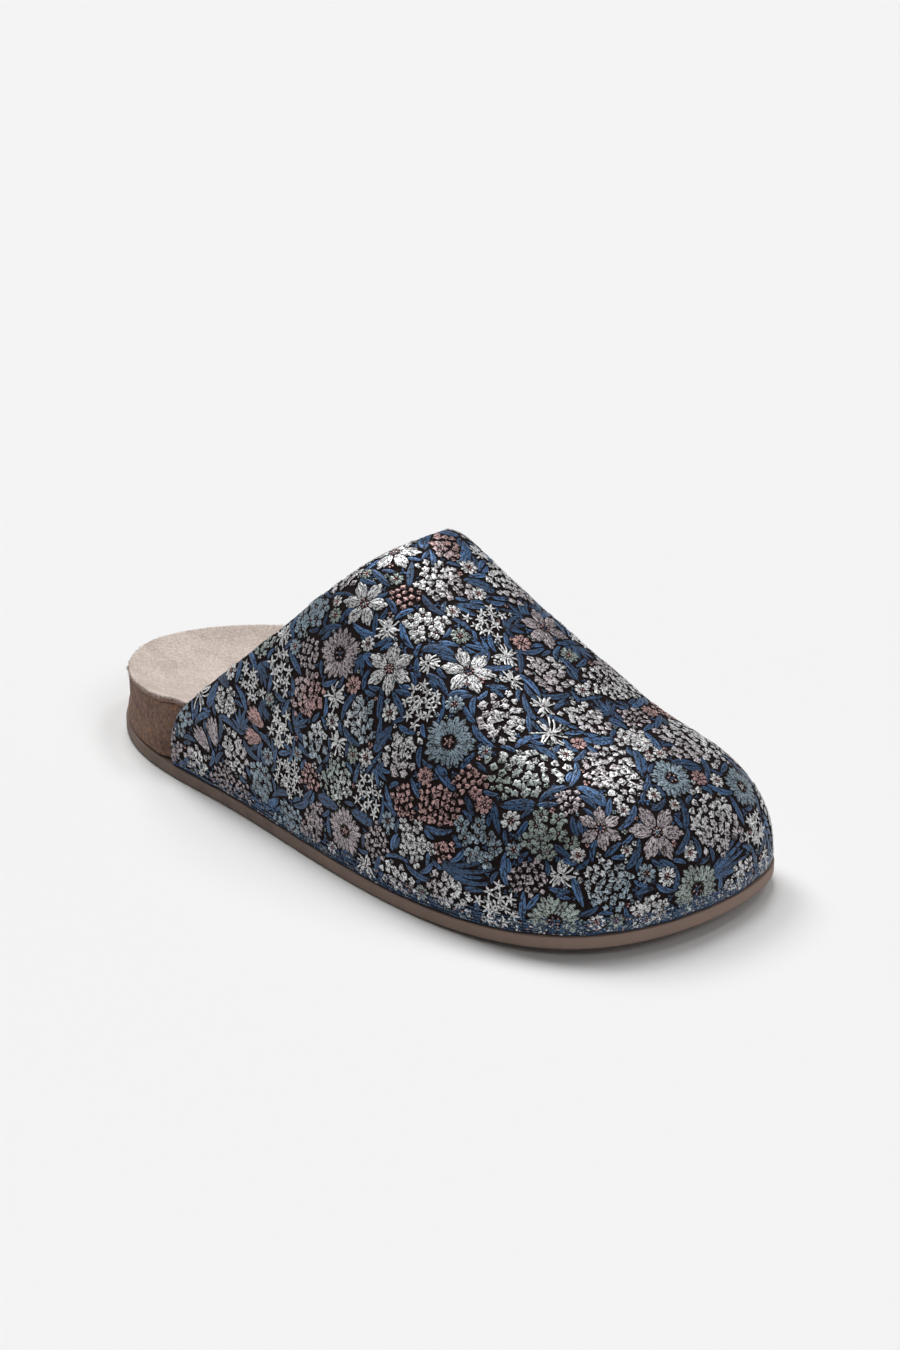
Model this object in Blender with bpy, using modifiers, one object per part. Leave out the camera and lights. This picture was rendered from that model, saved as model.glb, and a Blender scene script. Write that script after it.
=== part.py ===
"""Backless mule with a closed toe, for the right foot.

A thin rubber outsole carries a cork core, a suede footbed lies in the dish of the core, and a
woven upper arches over the forefoot. Sizes are in millimetres: x runs from the heel to the toe,
y to the inner side of the foot and z up from the floor.
"""

from collections import namedtuple
from math import cos, pi, sin

import bmesh
import bpy
import numpy as np
from mathutils import Vector

MM = 0.001
OBJECT_NAME = "sneaker_mule"

# Clearances and counts
GAP = 0.3               # between two pieces that meet
MERGE = 0.002           # points closer than this are one
SOLE_SECTIONS = 40      # sections along a layer of the sole
UPPER_SECTIONS = 32     # arches on each side of the upper
ARCH_STEPS = 18         # steps from the hem of an arch to its crest

# Sole
OUTSOLE_SIDE = 4.35     # height of the outsole's side
OUTSOLE_ROUND = 1.0     # rounding of its lower edge
TOE_SPRING = 4.8        # rise of the toe's tip above the floor
SPRING_START = 173.0    # where the forefoot leaves the floor
WAIST_HOLLOW = 1.5      # depth of the hollow under the inner waist
WAIST_START, WAIST_END = 66.0, 140.0
WAIST_FADE = 34.0       # width from the middle over which the hollow deepens
FOOTBED_THICKNESS = 1.8
FOOTBED_ROUND = 0.5     # rounding of the suede's upper edge
DISH_POWER = 2.4        # how long the footbed stays low before it turns up to its rim

# Wall of the core, as distances in from the outsole's edge
BARE_FOOT, BARE_WAIST, BARE_RIM = 0.9, 1.9, 1.7
COVERED_FOOT, COVERED_RIM = 3.2, 4.1
COVER_START, COVER_END = 50.0, 58.0     # the wall steps in here to take the upper
FLARE_LOW, FLARE_HIGH = 8.5, 11.5       # heights where the flare at the wall's foot runs out

# Upper
UPPER_WALL = 2.0
UPPER_INSET = 0.75      # hem of the upper, in from the outsole's edge
QUARTER_BACK = 59.2     # where the back edge of the quarter meets the sole
THROAT_FRONT = 140.5    # top of the throat
THROAT_LIFT = 0.12      # share of the height over which the back edge stands upright
THROAT_SWEEP = 1.22     # curve of the throat's edge above that
THROAT_WAYS = 0.1, 0.7  # stretch of the sole's length that holds the throat

# Middle line from which the sections fan out round the heel and the toe
FAN_HEEL, FAN_START, FAN_TOE = 28.0, 55.0, 227.5

OUTER, INNER = "outer", "inner"

OutlineRow = namedtuple("OutlineRow", "place x y")
OUTLINE = (
    OutlineRow("heel back", 0.0, 0.8),
    OutlineRow("outer heel", 20.0, -30.5),
    OutlineRow("outer waist", 86.0, -45.5),
    OutlineRow("outer ball", 169.5, -55.0),
    OutlineRow("outer toe", 248.5, -37.0),
    OutlineRow("toe tip", 265.0, 7.0),
    OutlineRow("inner toe", 254.0, 44.5),
    OutlineRow("inner ball", 197.0, 44.0),
    OutlineRow("inner waist", 110.0, 38.0),
    OutlineRow("inner heel", 20.5, 32.0),
)

# Heights of the footbed; both sides agree in the first and last three rows, so that they close
FootbedRow = namedtuple("FootbedRow", "x outer_rim inner_rim floor")
FOOTBED = (
    FootbedRow(0.0, 21.2, 21.2, 18.0),
    FootbedRow(30.0, 24.4, 24.4, 18.0),
    FootbedRow(65.0, 28.2, 28.2, 20.5),
    FootbedRow(110.0, 26.0, 30.0, 20.0),
    FootbedRow(150.0, 19.0, 21.0, 15.0),
    FootbedRow(190.0, 14.5, 14.5, 12.0),
    FootbedRow(225.0, 14.0, 14.0, 12.5),
    FootbedRow(265.0, 17.0, 17.0, 16.0),
)

# Line along the top of the upper; behind the throat, and ahead of the fan, it guides the sides
CrestRow = namedtuple("CrestRow", "x offset height")
CREST = (
    CrestRow(60.0, 2.5, 78.0),
    CrestRow(100.0, 4.5, 92.5),
    CrestRow(140.0, 5.5, 99.5),
    CrestRow(165.0, 4.5, 86.5),
    CrestRow(190.0, 3.5, 71.0),
    CrestRow(215.0, 3.0, 56.0),
    CrestRow(240.0, 4.0, 48.0),
    CrestRow(265.0, 4.0, 37.5),
)

# Powers of an arch: below 1 its side stands straighter or its top lies flatter
FullnessRow = namedtuple("FullnessRow", "x side top")
FULLNESS = (
    FullnessRow(60.0, 0.74, 0.65),
    FullnessRow(140.0, 0.88, 0.91),
    FullnessRow(200.0, 0.69, 0.76),
    FullnessRow(265.0, 0.65, 0.76),
)

FinishRow = namedtuple("FinishRow", "piece red green blue roughness")
FINISHES = (
    FinishRow("outsole", 0.14, 0.10, 0.085, 0.75),
    FinishRow("midsole", 0.17, 0.105, 0.08, 0.85),
    FinishRow("insole", 0.62, 0.55, 0.48, 0.95),
    FinishRow("upper", 0.055, 0.075, 0.12, 0.60),
)


def smooth_step(value, start, end):
    """Soft rise from 0 at start to 1 at end."""
    share = min(max((value - start) / (end - start), 0.0), 1.0)
    return share * share * (3 - 2 * share)


def hermite(share, span, start, end, start_slope, end_slope):
    """Cubic between two values with a slope at each."""
    back = 1 - share
    value = (1 + 2 * share) * back * back * start + share * share * (3 - 2 * share) * end
    return value + share * back * span * (back * start_slope - share * end_slope)


def read(table, column, x):
    """Value of a table's column at x, smooth between the rows and level beyond them."""
    places = np.array([row.x for row in table])
    values = np.array([getattr(row, column) for row in table])
    slopes = np.gradient(values, places)
    x = min(max(x, places[0]), places[-1])
    i = min(int(np.searchsorted(places, x, side="right")) - 1, len(places) - 2)
    span = places[i + 1] - places[i]
    share = (x - places[i]) / span
    return float(hermite(share, span, values[i], values[i + 1], slopes[i], slopes[i + 1]))


class ClosedCurve:
    """Smooth closed curve through points, read by the share of the way round."""

    def __init__(self, points):
        self.points = np.array(points)
        ahead = np.roll(self.points, -1, axis=0)
        self.steps = np.linalg.norm(ahead - self.points, axis=1)
        self.starts = np.concatenate([[0.0], np.cumsum(self.steps)])
        count = len(points)
        weights = np.zeros((count, count))
        pulls = np.zeros((count, 2))
        for i in range(count):
            before, after = self.steps[i - 1], self.steps[i]
            weights[i, i - 1] = after
            weights[i, i] = 2 * (before + after)
            weights[i, (i + 1) % count] = before
            rise_before = (self.points[i] - self.points[i - 1]) / before
            rise_after = (ahead[i] - self.points[i]) / after
            pulls[i] = 3 * (before * rise_after + after * rise_before)
        self.slopes = np.linalg.solve(weights, pulls)

    def share_at(self, index):
        """Share of the way round at one of the points."""
        return self.starts[index] / self.starts[-1]

    def at(self, share):
        """Point of the curve."""
        way = (share % 1.0) * self.starts[-1]
        i = min(int(np.searchsorted(self.starts, way, side="right")) - 1, len(self.steps) - 1)
        j = (i + 1) % len(self.steps)
        part = (way - self.starts[i]) / self.steps[i]
        ends = self.points[i], self.points[j], self.slopes[i], self.slopes[j]
        return Vector(hermite(part, self.steps[i], *ends))

    def outward(self, share, reach=0.0001):
        """Unit vector pointing out of the curve."""
        along = self.at(share + reach) - self.at(share - reach)
        return Vector((along.y, -along.x)).normalized()


RIM_CURVE = ClosedCurve([(row.x, row.y) for row in OUTLINE])
TOE_SHARE = RIM_CURVE.share_at([row.place for row in OUTLINE].index("toe tip"))
LENGTH = max(row.x for row in OUTLINE)


def edge(way, side, inset):
    """Point of the outline, way from the heel (0) to the toe (1), moved in by inset."""
    share = TOE_SHARE * way if side == OUTER else 1 - (1 - TOE_SHARE) * way
    return RIM_CURVE.at(share) - RIM_CURVE.outward(share) * inset


def station(way):
    """Middle of the sole between the two sides."""
    return (edge(way, OUTER, 0) + edge(way, INNER, 0)) / 2


def fan_x(x):
    """Place on the middle line from which the section at x fans out."""
    end, limit = (LENGTH, FAN_TOE) if x > FAN_START else (0.0, FAN_HEEL)
    power = (end - FAN_START) / (limit - FAN_START)
    share = min(max((x - FAN_START) / (end - FAN_START), 0.0), 1.0)
    return FAN_START + (limit - FAN_START) * (1 - (1 - share) ** power)


def spring(x):
    """Height of the sole's underside above the floor along the toe spring."""
    return TOE_SPRING * max(0.0, (x - SPRING_START) / (LENGTH - SPRING_START)) ** 2


def underside(plan):
    """Height of the outsole's underside, with the hollow under the inner waist."""
    share = min(max((plan.x - WAIST_START) / (WAIST_END - WAIST_START), 0.0), 1.0)
    hollow = WAIST_HOLLOW * sin(pi * share) ** 2 * smooth_step(plan.y, 0.0, WAIST_FADE)
    return spring(plan.x) + hollow


def deck(x):
    """Height of the outsole's top."""
    return spring(x) + OUTSOLE_SIDE


def lift(plan, height):
    """Point at a height over a plan point."""
    return Vector((plan.x, plan.y, height))


def footbed(way, side, rim_plan, share, drop):
    """Point of the dished footbed, share of the way from the middle to its rim, lowered by drop."""
    middle = station(way)
    middle.x = fan_x(middle.x)
    plan = middle.lerp(rim_plan, share)
    low = read(FOOTBED, "floor", middle.x)
    high = read(FOOTBED, side + "_rim", rim_plan.x)
    return lift(plan, low + (high - low) * share ** DISH_POWER - drop)


def covered(way, bare, under):
    """Distance in from the outline for a wall that steps in under the upper."""
    return bare + (under - bare) * smooth_step(station(way).x, COVER_START, COVER_END)


def flat_run(way, rim_plan, shares, height):
    """Points across a layer at the given shares from its middle to its rim."""
    middle = station(way)
    middle.x = fan_x(middle.x)
    plans = [middle.lerp(rim_plan, share) for share in shares]
    return [lift(plan, height(plan)) for plan in plans]


def outsole_half(way, side):
    """Half section of the outsole, from the middle of its underside round to the middle of its top."""
    foot = edge(way, side, OUTSOLE_ROUND)
    rim = edge(way, side, 0)
    points = flat_run(way, foot, (0, 0.4, 0.75, 1), underside)
    points += [lift(rim, spring(rim.x) + OUTSOLE_ROUND), lift(rim, deck(rim.x))]
    points += flat_run(way, rim, (0.6, 0), lambda plan: deck(plan.x))
    return points


def midsole_half(way, side):
    """Half section of the cork core, with its flared foot and dished top."""
    foot = edge(way, side, covered(way, BARE_FOOT, COVERED_FOOT))
    waist = edge(way, side, covered(way, BARE_WAIST, COVERED_RIM))
    rim = edge(way, side, covered(way, BARE_RIM, COVERED_RIM))
    rise = spring(foot.x)
    drop = FOOTBED_THICKNESS + GAP
    points = flat_run(way, foot, (0, 0.6, 1), lambda plan: deck(plan.x) + GAP)
    points += [lift(foot, FLARE_LOW + rise), lift(waist, FLARE_HIGH + rise)]
    shares = (1, 0.93, 0.82, 0.66, 0.44, 0.22, 0)
    return points + [footbed(way, side, rim, share, drop) for share in shares]


def insole_half(way, side):
    """Half section of the suede footbed, a sheet that follows the dish."""
    rim = edge(way, side, covered(way, BARE_RIM, COVERED_RIM))
    shares = (1, 0.93, 0.82, 0.66, 0.44, 0.22, 0)
    points = [footbed(way, side, rim, share, FOOTBED_THICKNESS) for share in reversed(shares)]
    points.append(footbed(way, side, rim, 1, FOOTBED_ROUND))
    rim = edge(way, side, covered(way, BARE_RIM, COVERED_RIM) + FOOTBED_ROUND)
    return points + [footbed(way, side, rim, share, 0) for share in shares]


def arch_point(way, side, angle):
    """Point of the upper's outer face: the hem at angle 0, the crest at a right angle."""
    hem = edge(way, side, UPPER_INSET)
    crest_x = fan_x(station(way).x)
    crest = Vector((crest_x, read(CREST, "offset", crest_x)))
    out = max(cos(angle), 0.0) ** read(FULLNESS, "side", hem.x)
    up = sin(angle) ** read(FULLNESS, "top", hem.x)
    plan = crest.lerp(hem, out)
    low = deck(hem.x) + GAP
    return lift(plan, low + (read(CREST, "height", plan.x) - low) * up)


def throat_way(side, angle):
    """Way along the sole at which the upper starts, at an angle up its side."""
    height = sin(angle) ** read(FULLNESS, "top", (QUARTER_BACK + THROAT_FRONT) / 2)
    share = max(0.0, (height - THROAT_LIFT) / (1 - THROAT_LIFT)) ** THROAT_SWEEP
    x = QUARTER_BACK + (THROAT_FRONT - QUARTER_BACK) * share
    ways = np.linspace(*THROAT_WAYS, 81)
    return float(np.interp(x, [arch_point(way, side, angle).x for way in ways], ways))


def sole_rows(half):
    """Closed sections along a layer of the sole, from heel to toe."""
    ways = [i / SOLE_SECTIONS for i in range(SOLE_SECTIONS + 1)]
    return [half(way, INNER) + half(way, OUTER)[::-1] for way in ways]


def arch_row(side, angle):
    """Points of one side at an angle, from the throat's edge to the toe."""
    start = throat_way(side, angle)
    ways = [start + (1 - start) * i / UPPER_SECTIONS for i in range(UPPER_SECTIONS + 1)]
    return [arch_point(way, side, angle) for way in ways]


def upper_rows():
    """Rows of points round the toe, from the hem up to the crest."""
    rows = []
    for step in range(ARCH_STEPS + 1):
        angle = pi / 2 * step / ARCH_STEPS
        outer = arch_row(OUTER, angle)
        inner = arch_row(INNER, angle)
        rows.append(outer + inner[-2::-1])
    return rows


def skin(name, rows, parent, collection):
    """Object whose faces span equal rows of points; points that fall together are merged."""
    shape = bmesh.new()
    bmesh.ops.create_grid(shape, x_segments=len(rows[0]) - 1, y_segments=len(rows) - 1)
    points = [point for row in rows for point in row]
    for vert, point in zip(list(shape.verts), points):
        vert.co = point * MM
    bmesh.ops.remove_doubles(shape, verts=shape.verts, dist=MERGE * MM)
    mesh = bpy.data.meshes.new(name)
    shape.to_mesh(mesh)
    shape.free()
    mesh.shade_smooth()
    mesh.materials.append(finish(name))
    piece = bpy.data.objects.new(name, mesh)
    piece.parent = parent
    collection.objects.link(piece)
    return piece


def finish(name):
    """Material of a piece."""
    row = next(row for row in FINISHES if row.piece == name)
    material = bpy.data.materials.new(name + "_finish")
    material.use_nodes = True
    shader = material.node_tree.nodes["Principled BSDF"]
    shader.inputs["Base Color"].default_value = (row.red, row.green, row.blue, 1)
    shader.inputs["Roughness"].default_value = row.roughness
    shader.inputs["Metallic"].default_value = 0
    return material


def place(collection):
    """Empty that carries the pieces and puts the middle of the outline over the origin."""
    rim = np.array([RIM_CURVE.at(share) for share in np.linspace(0, 1, 721)])
    middle = (rim.min(axis=0) + rim.max(axis=0)) / 2
    empty = bpy.data.objects.new(OBJECT_NAME + "_place", None)
    empty.location = Vector((-middle[0], -middle[1], 0)) * MM
    collection.objects.link(empty)
    return empty


def main():
    for item in list(bpy.data.objects):
        bpy.data.objects.remove(item)
    collection = bpy.data.collections.new(OBJECT_NAME)
    bpy.context.scene.collection.children.link(collection)
    parent = place(collection)
    skin("outsole", sole_rows(outsole_half), parent, collection)
    skin("midsole", sole_rows(midsole_half), parent, collection)
    skin("insole", sole_rows(insole_half), parent, collection)
    upper = skin("upper", upper_rows(), parent, collection)
    wall = upper.modifiers.new("wall", "SOLIDIFY")
    wall.thickness = UPPER_WALL * MM
    wall.offset = -1
    wall.use_even_offset = True


main()
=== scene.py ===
"""Looks of a backless mule with a closed toe, laid out as a Blender add-on.

The packed solids are loaded as a fixed frame. Every piece is worked out from the same named sizes as the
part's source, in millimetres from the back of the heel: x runs to the toe, y to the inner side and z up.
A piece is moved over the frame's origin, and to metres, when its mesh is made.
"""

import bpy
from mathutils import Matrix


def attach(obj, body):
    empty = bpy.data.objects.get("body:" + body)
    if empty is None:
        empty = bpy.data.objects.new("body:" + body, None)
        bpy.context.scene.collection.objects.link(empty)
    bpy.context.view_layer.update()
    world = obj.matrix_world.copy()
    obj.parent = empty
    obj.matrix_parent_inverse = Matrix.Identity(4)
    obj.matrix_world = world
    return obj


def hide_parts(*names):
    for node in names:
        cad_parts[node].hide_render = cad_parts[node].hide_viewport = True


bl_info = {
    "name": "Woven Mule",
    "version": (1, 0, 0),
    "blender": (4, 5, 0),
    "location": "View3D > Sidebar > Mule",
    "description": "Dresses the solids of a backless woven mule and sets them on a stage",
    "category": "Object",
}

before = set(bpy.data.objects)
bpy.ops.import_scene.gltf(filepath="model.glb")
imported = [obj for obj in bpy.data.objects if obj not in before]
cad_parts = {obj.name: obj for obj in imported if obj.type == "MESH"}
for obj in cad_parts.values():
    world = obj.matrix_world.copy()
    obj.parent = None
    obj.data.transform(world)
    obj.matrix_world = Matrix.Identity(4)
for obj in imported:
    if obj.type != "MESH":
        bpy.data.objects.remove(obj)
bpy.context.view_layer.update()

from collections import namedtuple
from math import atan2, cos, pi, radians, sin, tau

import bmesh
import bpy
import numpy as np
from bpy.props import FloatProperty, FloatVectorProperty, IntProperty, PointerProperty
from mathutils import Vector, noise
from mathutils.bvhtree import BVHTree
from mathutils.kdtree import KDTree

MM = 0.001
BODY = "root"

# Fineness of the meshes, and the start of the fray's random draws
OUTSOLE_SECTIONS, CORE_SECTIONS, FOOTBED_SECTIONS = 400, 220, 300
CLOTH_ROWS, CLOTH_COLUMNS = 66, 190
LINING_ROWS, LINING_COLUMNS = 40, 110
FUZZ_SEED = 5

# Sizes shared with the part's source
GAP = 0.3
MERGE = 0.002
OUTSOLE_SIDE, OUTSOLE_ROUND = 4.35, 1.0
TOE_SPRING, SPRING_START = 4.8, 173.0
WAIST_HOLLOW, WAIST_START, WAIST_END, WAIST_FADE = 1.5, 66.0, 140.0, 34.0
FOOTBED_THICKNESS, DISH_POWER = 1.8, 2.4
BARE_FOOT, BARE_WAIST, BARE_RIM = 0.9, 1.9, 1.7
COVERED_FOOT, COVERED_RIM = 3.2, 4.1
COVER_START, COVER_END = 50.0, 58.0
UPPER_INSET = 0.75
QUARTER_BACK, THROAT_FRONT = 59.2, 140.5
THROAT_LIFT, THROAT_SWEEP = 0.12, 1.22
THROAT_WAYS = 0.1, 0.7
FAN_HEEL, FAN_START, FAN_TOE = 28.0, 55.0, 227.5
OUTER, INNER = "outer", "inner"

OutlineRow = namedtuple("OutlineRow", "place x y")
OUTLINE = (
    OutlineRow("heel back", 0.0, 0.8),
    OutlineRow("outer heel", 20.0, -30.5),
    OutlineRow("outer waist", 86.0, -45.5),
    OutlineRow("outer ball", 169.5, -55.0),
    OutlineRow("outer toe", 248.5, -37.0),
    OutlineRow("toe tip", 265.0, 7.0),
    OutlineRow("inner toe", 254.0, 44.5),
    OutlineRow("inner ball", 197.0, 44.0),
    OutlineRow("inner waist", 110.0, 38.0),
    OutlineRow("inner heel", 20.5, 32.0),
)

FootbedRow = namedtuple("FootbedRow", "x outer_rim inner_rim floor")
FOOTBED = (
    FootbedRow(0.0, 21.2, 21.2, 18.0),
    FootbedRow(30.0, 24.4, 24.4, 18.0),
    FootbedRow(65.0, 28.2, 28.2, 20.5),
    FootbedRow(110.0, 26.0, 30.0, 20.0),
    FootbedRow(150.0, 19.0, 21.0, 15.0),
    FootbedRow(190.0, 14.5, 14.5, 12.0),
    FootbedRow(225.0, 14.0, 14.0, 12.5),
    FootbedRow(265.0, 17.0, 17.0, 16.0),
)

CrestRow = namedtuple("CrestRow", "x offset height")
CREST = (
    CrestRow(60.0, 2.5, 78.0),
    CrestRow(100.0, 4.5, 92.5),
    CrestRow(140.0, 5.5, 99.5),
    CrestRow(165.0, 4.5, 86.5),
    CrestRow(190.0, 3.5, 71.0),
    CrestRow(215.0, 3.0, 56.0),
    CrestRow(240.0, 4.0, 48.0),
    CrestRow(265.0, 4.0, 37.5),
)

FullnessRow = namedtuple("FullnessRow", "x side top")
FULLNESS = (
    FullnessRow(60.0, 0.74, 0.65),
    FullnessRow(140.0, 0.88, 0.91),
    FullnessRow(200.0, 0.69, 0.76),
    FullnessRow(265.0, 0.65, 0.76),
)

# Soft creases of the upper: where the middle lies, which way it runs, its length, width and depth
CreaseRow = namedtuple("CreaseRow", "place x y run_x run_y length width depth")
CREASES = (
    CreaseRow("flex of the vamp", 186.0, -6.0, 0.25, 1.0, 62.0, 11.0, 0.7),
    CreaseRow("outer ball", 158.0, -42.0, 1.0, 0.15, 44.0, 9.0, 0.6),
    CreaseRow("inner ball", 176.0, 36.0, 1.0, -0.1, 40.0, 9.0, 0.6),
    CreaseRow("instep", 122.0, -26.0, 1.0, 0.55, 36.0, 8.0, 0.5),
    CreaseRow("toe box", 232.0, 8.0, -0.2, 1.0, 40.0, 12.0, -0.5),
)

# Flowers of the brocade: how many, and how far they reach from their middle
FlowerRow = namedtuple("FlowerRow", "kind count least most tints")
FLOWERS = (
    FlowerRow("umbel", 11, 11.5, 14.5, ("white", "white", "sage", "white", "mist")),
    FlowerRow("umbel", 30, 6.0, 9.8, ("white", "rose", "white", "mist", "mauve", "white", "sage")),
    FlowerRow("starflower", 9, 7.0, 10.2, ("white", "mauve")),
    FlowerRow("windflower", 12, 6.2, 9.2, ("sage", "mauve", "mist")),
    FlowerRow("posy", 34, 5.6, 9.2, ("mauve", "mist", "white", "sage", "white")),
    FlowerRow("jasmine", 34, 5.4, 9.0, ("white",)),
    FlowerRow("bells", 16, 5.6, 7.8, ("mauve", "rose", "white")),
    FlowerRow("berries", 40, 4.0, 8.0, ("rose", "mauve", "rose")),
    FlowerRow("threads", 66, 3.8, 7.2, ("white",)),
    FlowerRow("daisy", 80, 2.0, 3.4, ("white", "sage", "mist", "white", "rose")),
)

# Kinds of flower that make up each piece
FLOWER_PIECES = {
    "brocade_umbels": ("umbel",),
    "brocade_posies": ("posy", "berries", "daisy", "jasmine"),
    "brocade_blossoms": ("starflower", "windflower", "bells", "threads"),
}

# Least heights above the sole for the middles of the motifs, and the height of the band at the hem
FLOWERS_ABOVE, LEAVES_ABOVE, FILLERS_ABOVE, HEM_BAND = 4.0, 2.5, 1.0, 5.2

# Second colour that a head shades into
MATES = {"white": "mauve", "sage": "white", "mist": "white", "rose": "mauve", "mauve": "white"}

# Sprays and single leaves of the brocade, each tried from the widest down
LeafRow = namedtuple("LeafRow", "form length width tries")
SPRAYS = (
    LeafRow("fern", 28.0, 8.4, 220),
    LeafRow("fan", 14.0, 10.0, 160),
    LeafRow("grass", 24.0, 5.2, 300),
    LeafRow("fern", 18.0, 6.4, 360),
    LeafRow("fan", 9.0, 7.0, 360),
)
LEAVES = (
    LeafRow("broad", 12.0, 4.2, 240),
    LeafRow("leaf", 12.0, 2.6, 1000),
    LeafRow("leaf", 8.0, 2.2, 1800),
    LeafRow("reed", 12.0, 1.5, 1400),
    LeafRow("leaf", 5.5, 1.8, 2400),
)

# Lights of the stage: strength, compass angle, angle from straight above and angle filled, in degrees
LightRow = namedtuple("LightRow", "name strength turn tilt spread")
LIGHTS = (
    LightRow("back", 1.50, 232.0, 21.0, 20.0),
    LightRow("heel", 1.46, 264.0, 37.0, 22.0),
    LightRow("vamp", 0.50, 160.0, 29.0, 18.0),
    LightRow("toe", 0.50, 94.0, 46.0, 26.0),
)


def srgb(red, green, blue):
    """Linear colour for a colour given in 0 to 255."""
    shares = [value / 255 for value in (red, green, blue)]
    return [share / 12.92 if share <= 0.04045 else ((share + 0.055) / 1.055) ** 2.4 for share in shares]


def toned(colour, factor):
    """Colour made darker or lighter by a factor."""
    return [factor * value for value in colour]


def length_setting(name, description, millimetres):
    """Property that holds a length, with its default given in millimetres."""
    return FloatProperty(
        name=name, description=description, default=millimetres * MM, unit="LENGTH", precision=5)


def colour_setting(name, description, red, green, blue):
    """Property that holds a colour, with its default given in 0 to 255."""
    return FloatVectorProperty(
        name=name, description=description, default=srgb(red, green, blue), subtype="COLOR", min=0, max=1)


class MuleSoleSettings(bpy.types.PropertyGroup):
    """Sizes and colours of the outsole and the core."""

    tread_pitch: length_setting("Tread pitch", "Distance between two grooves under the outsole", 8.0)
    tread_width: length_setting("Tread width", "Width of a groove", 2.6)
    tread_depth: length_setting("Tread depth", "Depth of a groove", 0.9)
    rubber: colour_setting("Rubber", "Colour of the outsole", 120, 102, 92)
    cork: colour_setting("Cork", "Colour of the core's wall", 123, 98, 86)
    cork_fleck: colour_setting("Cork fleck", "Colour of the warm grains in the core", 172, 122, 82)
    cork_pit: colour_setting("Cork pit", "Colour of the dark grains in the core", 62, 44, 38)


class MuleFootbedSettings(bpy.types.PropertyGroup):
    """Sizes and colours of the suede footbed."""

    edge_round: length_setting("Edge round", "Rounding of the suede's upper edge", 0.4)
    edge_waver: length_setting("Edge waver", "How far the cut edge wavers", 0.1)
    fuzz_length: length_setting("Fuzz length", "Length of the fibres at the cut edge", 1.1)
    fuzz_count: IntProperty(name="Fuzz count", description="Fibres at the cut edge", default=1800, min=0)
    suede: colour_setting("Suede", "Colour of the nap", 217, 204, 196)
    suede_dark: colour_setting("Suede shade", "Colour of the nap where it is brushed back", 174, 159, 149)


class MuleUpperSettings(bpy.types.PropertyGroup):
    """Sizes and colours of the upper's cloth and lining."""

    edge_roll: length_setting("Edge roll", "Radius of the fold at the throat", 0.62)
    edge_droop: length_setting("Edge droop", "How far the cloth leans in towards the throat", 1.1)
    cloth: length_setting("Cloth", "Thickness of the woven cloth", 0.5)
    lining: length_setting("Lining", "Thickness of the lining", 0.6)
    pucker_depth: length_setting("Pucker depth", "Depth of the gathers above the hem", 0.42)
    pucker_length: length_setting("Pucker length", "Distance between two gathers", 4.6)
    hem_tuck: length_setting("Hem tuck", "How far the hem turns in over the outsole", 0.25)
    ground: colour_setting("Ground", "Colour of the warp between the motifs", 28, 20, 20)
    lining_colour: colour_setting("Lining colour", "Colour of the lining", 206, 190, 177)


class MuleBrocadeSettings(bpy.types.PropertyGroup):
    """Relief and thread colours of the woven meadow."""

    seed: IntProperty(name="Seed", description="Start of the layout's random draws", default=12)
    petal_height: length_setting("Petal height", "How far a petal stands up", 0.12)
    leaf_height: length_setting("Leaf height", "How far a leaf stands up", 0.08)
    tuck_under: length_setting("Tuck under", "How far a leaf may slip under a petal", 0.12)
    ground_left: length_setting("Ground left", "Gaps narrower than twice this stay bare", 0.68)
    hem_strokes: IntProperty(
        name="Hem strokes", description="Short floats in the band at the hem", default=6200)
    white: colour_setting("White thread", "Silver white petals", 247, 248, 250)
    sage: colour_setting("Sage thread", "Grey green petals", 174, 188, 182)
    mist: colour_setting("Mist thread", "Grey blue petals", 167, 188, 202)
    rose: colour_setting("Rose thread", "Dusty pink petals", 212, 172, 169)
    mauve: colour_setting("Mauve thread", "Grey violet petals", 204, 192, 197)
    blue: colour_setting("Blue thread", "Leaves and stems", 80, 115, 158)


class MuleStageSettings(bpy.types.PropertyGroup):
    """Floor, light and camera."""

    floor: colour_setting("Floor", "Colour of the floor", 231, 231, 231)
    glow: FloatProperty(name="Glow", description="Strength of the light from round the horizon", default=0.7)
    sky: FloatProperty(name="Sky", description="Strength of the light from the sky above", default=0.03)
    light: FloatProperty(name="Light", description="Strength of all the lights together", default=1.0)
    target: FloatVectorProperty(
        name="Target", description="Point that the camera looks at", default=(0.0160, 0.0064, 0.05075),
        unit="LENGTH", precision=5)
    azimuth: FloatProperty(
        name="Azimuth", description="Camera's angle round the shoe", default=radians(44.8), subtype="ANGLE")
    elevation: FloatProperty(
        name="Elevation", description="Camera's angle above the floor",
        default=radians(23.65), subtype="ANGLE")
    distance: length_setting("Distance", "Camera's distance from the target", 934.0)
    lens: FloatProperty(name="Lens", description="Focal length in millimetres", default=75.76)


def smooth_step(value, start, end):
    """Soft rise from 0 at start to 1 at end."""
    share = np.clip((value - start) / (end - start), 0.0, 1.0)
    return share * share * (3 - 2 * share)


def hermite(share, span, start, end, start_slope, end_slope):
    """Cubic between two values with a slope at each."""
    back = 1 - share
    value = (1 + 2 * share) * back * back * start + share * share * (3 - 2 * share) * end
    return value + share * back * span * (back * start_slope - share * end_slope)


def read(table, column, x):
    """Values of a table's column at x, smooth between the rows and level beyond them."""
    places = np.array([row.x for row in table])
    values = np.array([getattr(row, column) for row in table])
    slopes = np.gradient(values, places)
    x = np.clip(x, places[0], places[-1])
    i = np.minimum(np.searchsorted(places, x, side="right") - 1, len(places) - 2)
    span = places[i + 1] - places[i]
    return hermite((x - places[i]) / span, span, values[i], values[i + 1], slopes[i], slopes[i + 1])


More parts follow.
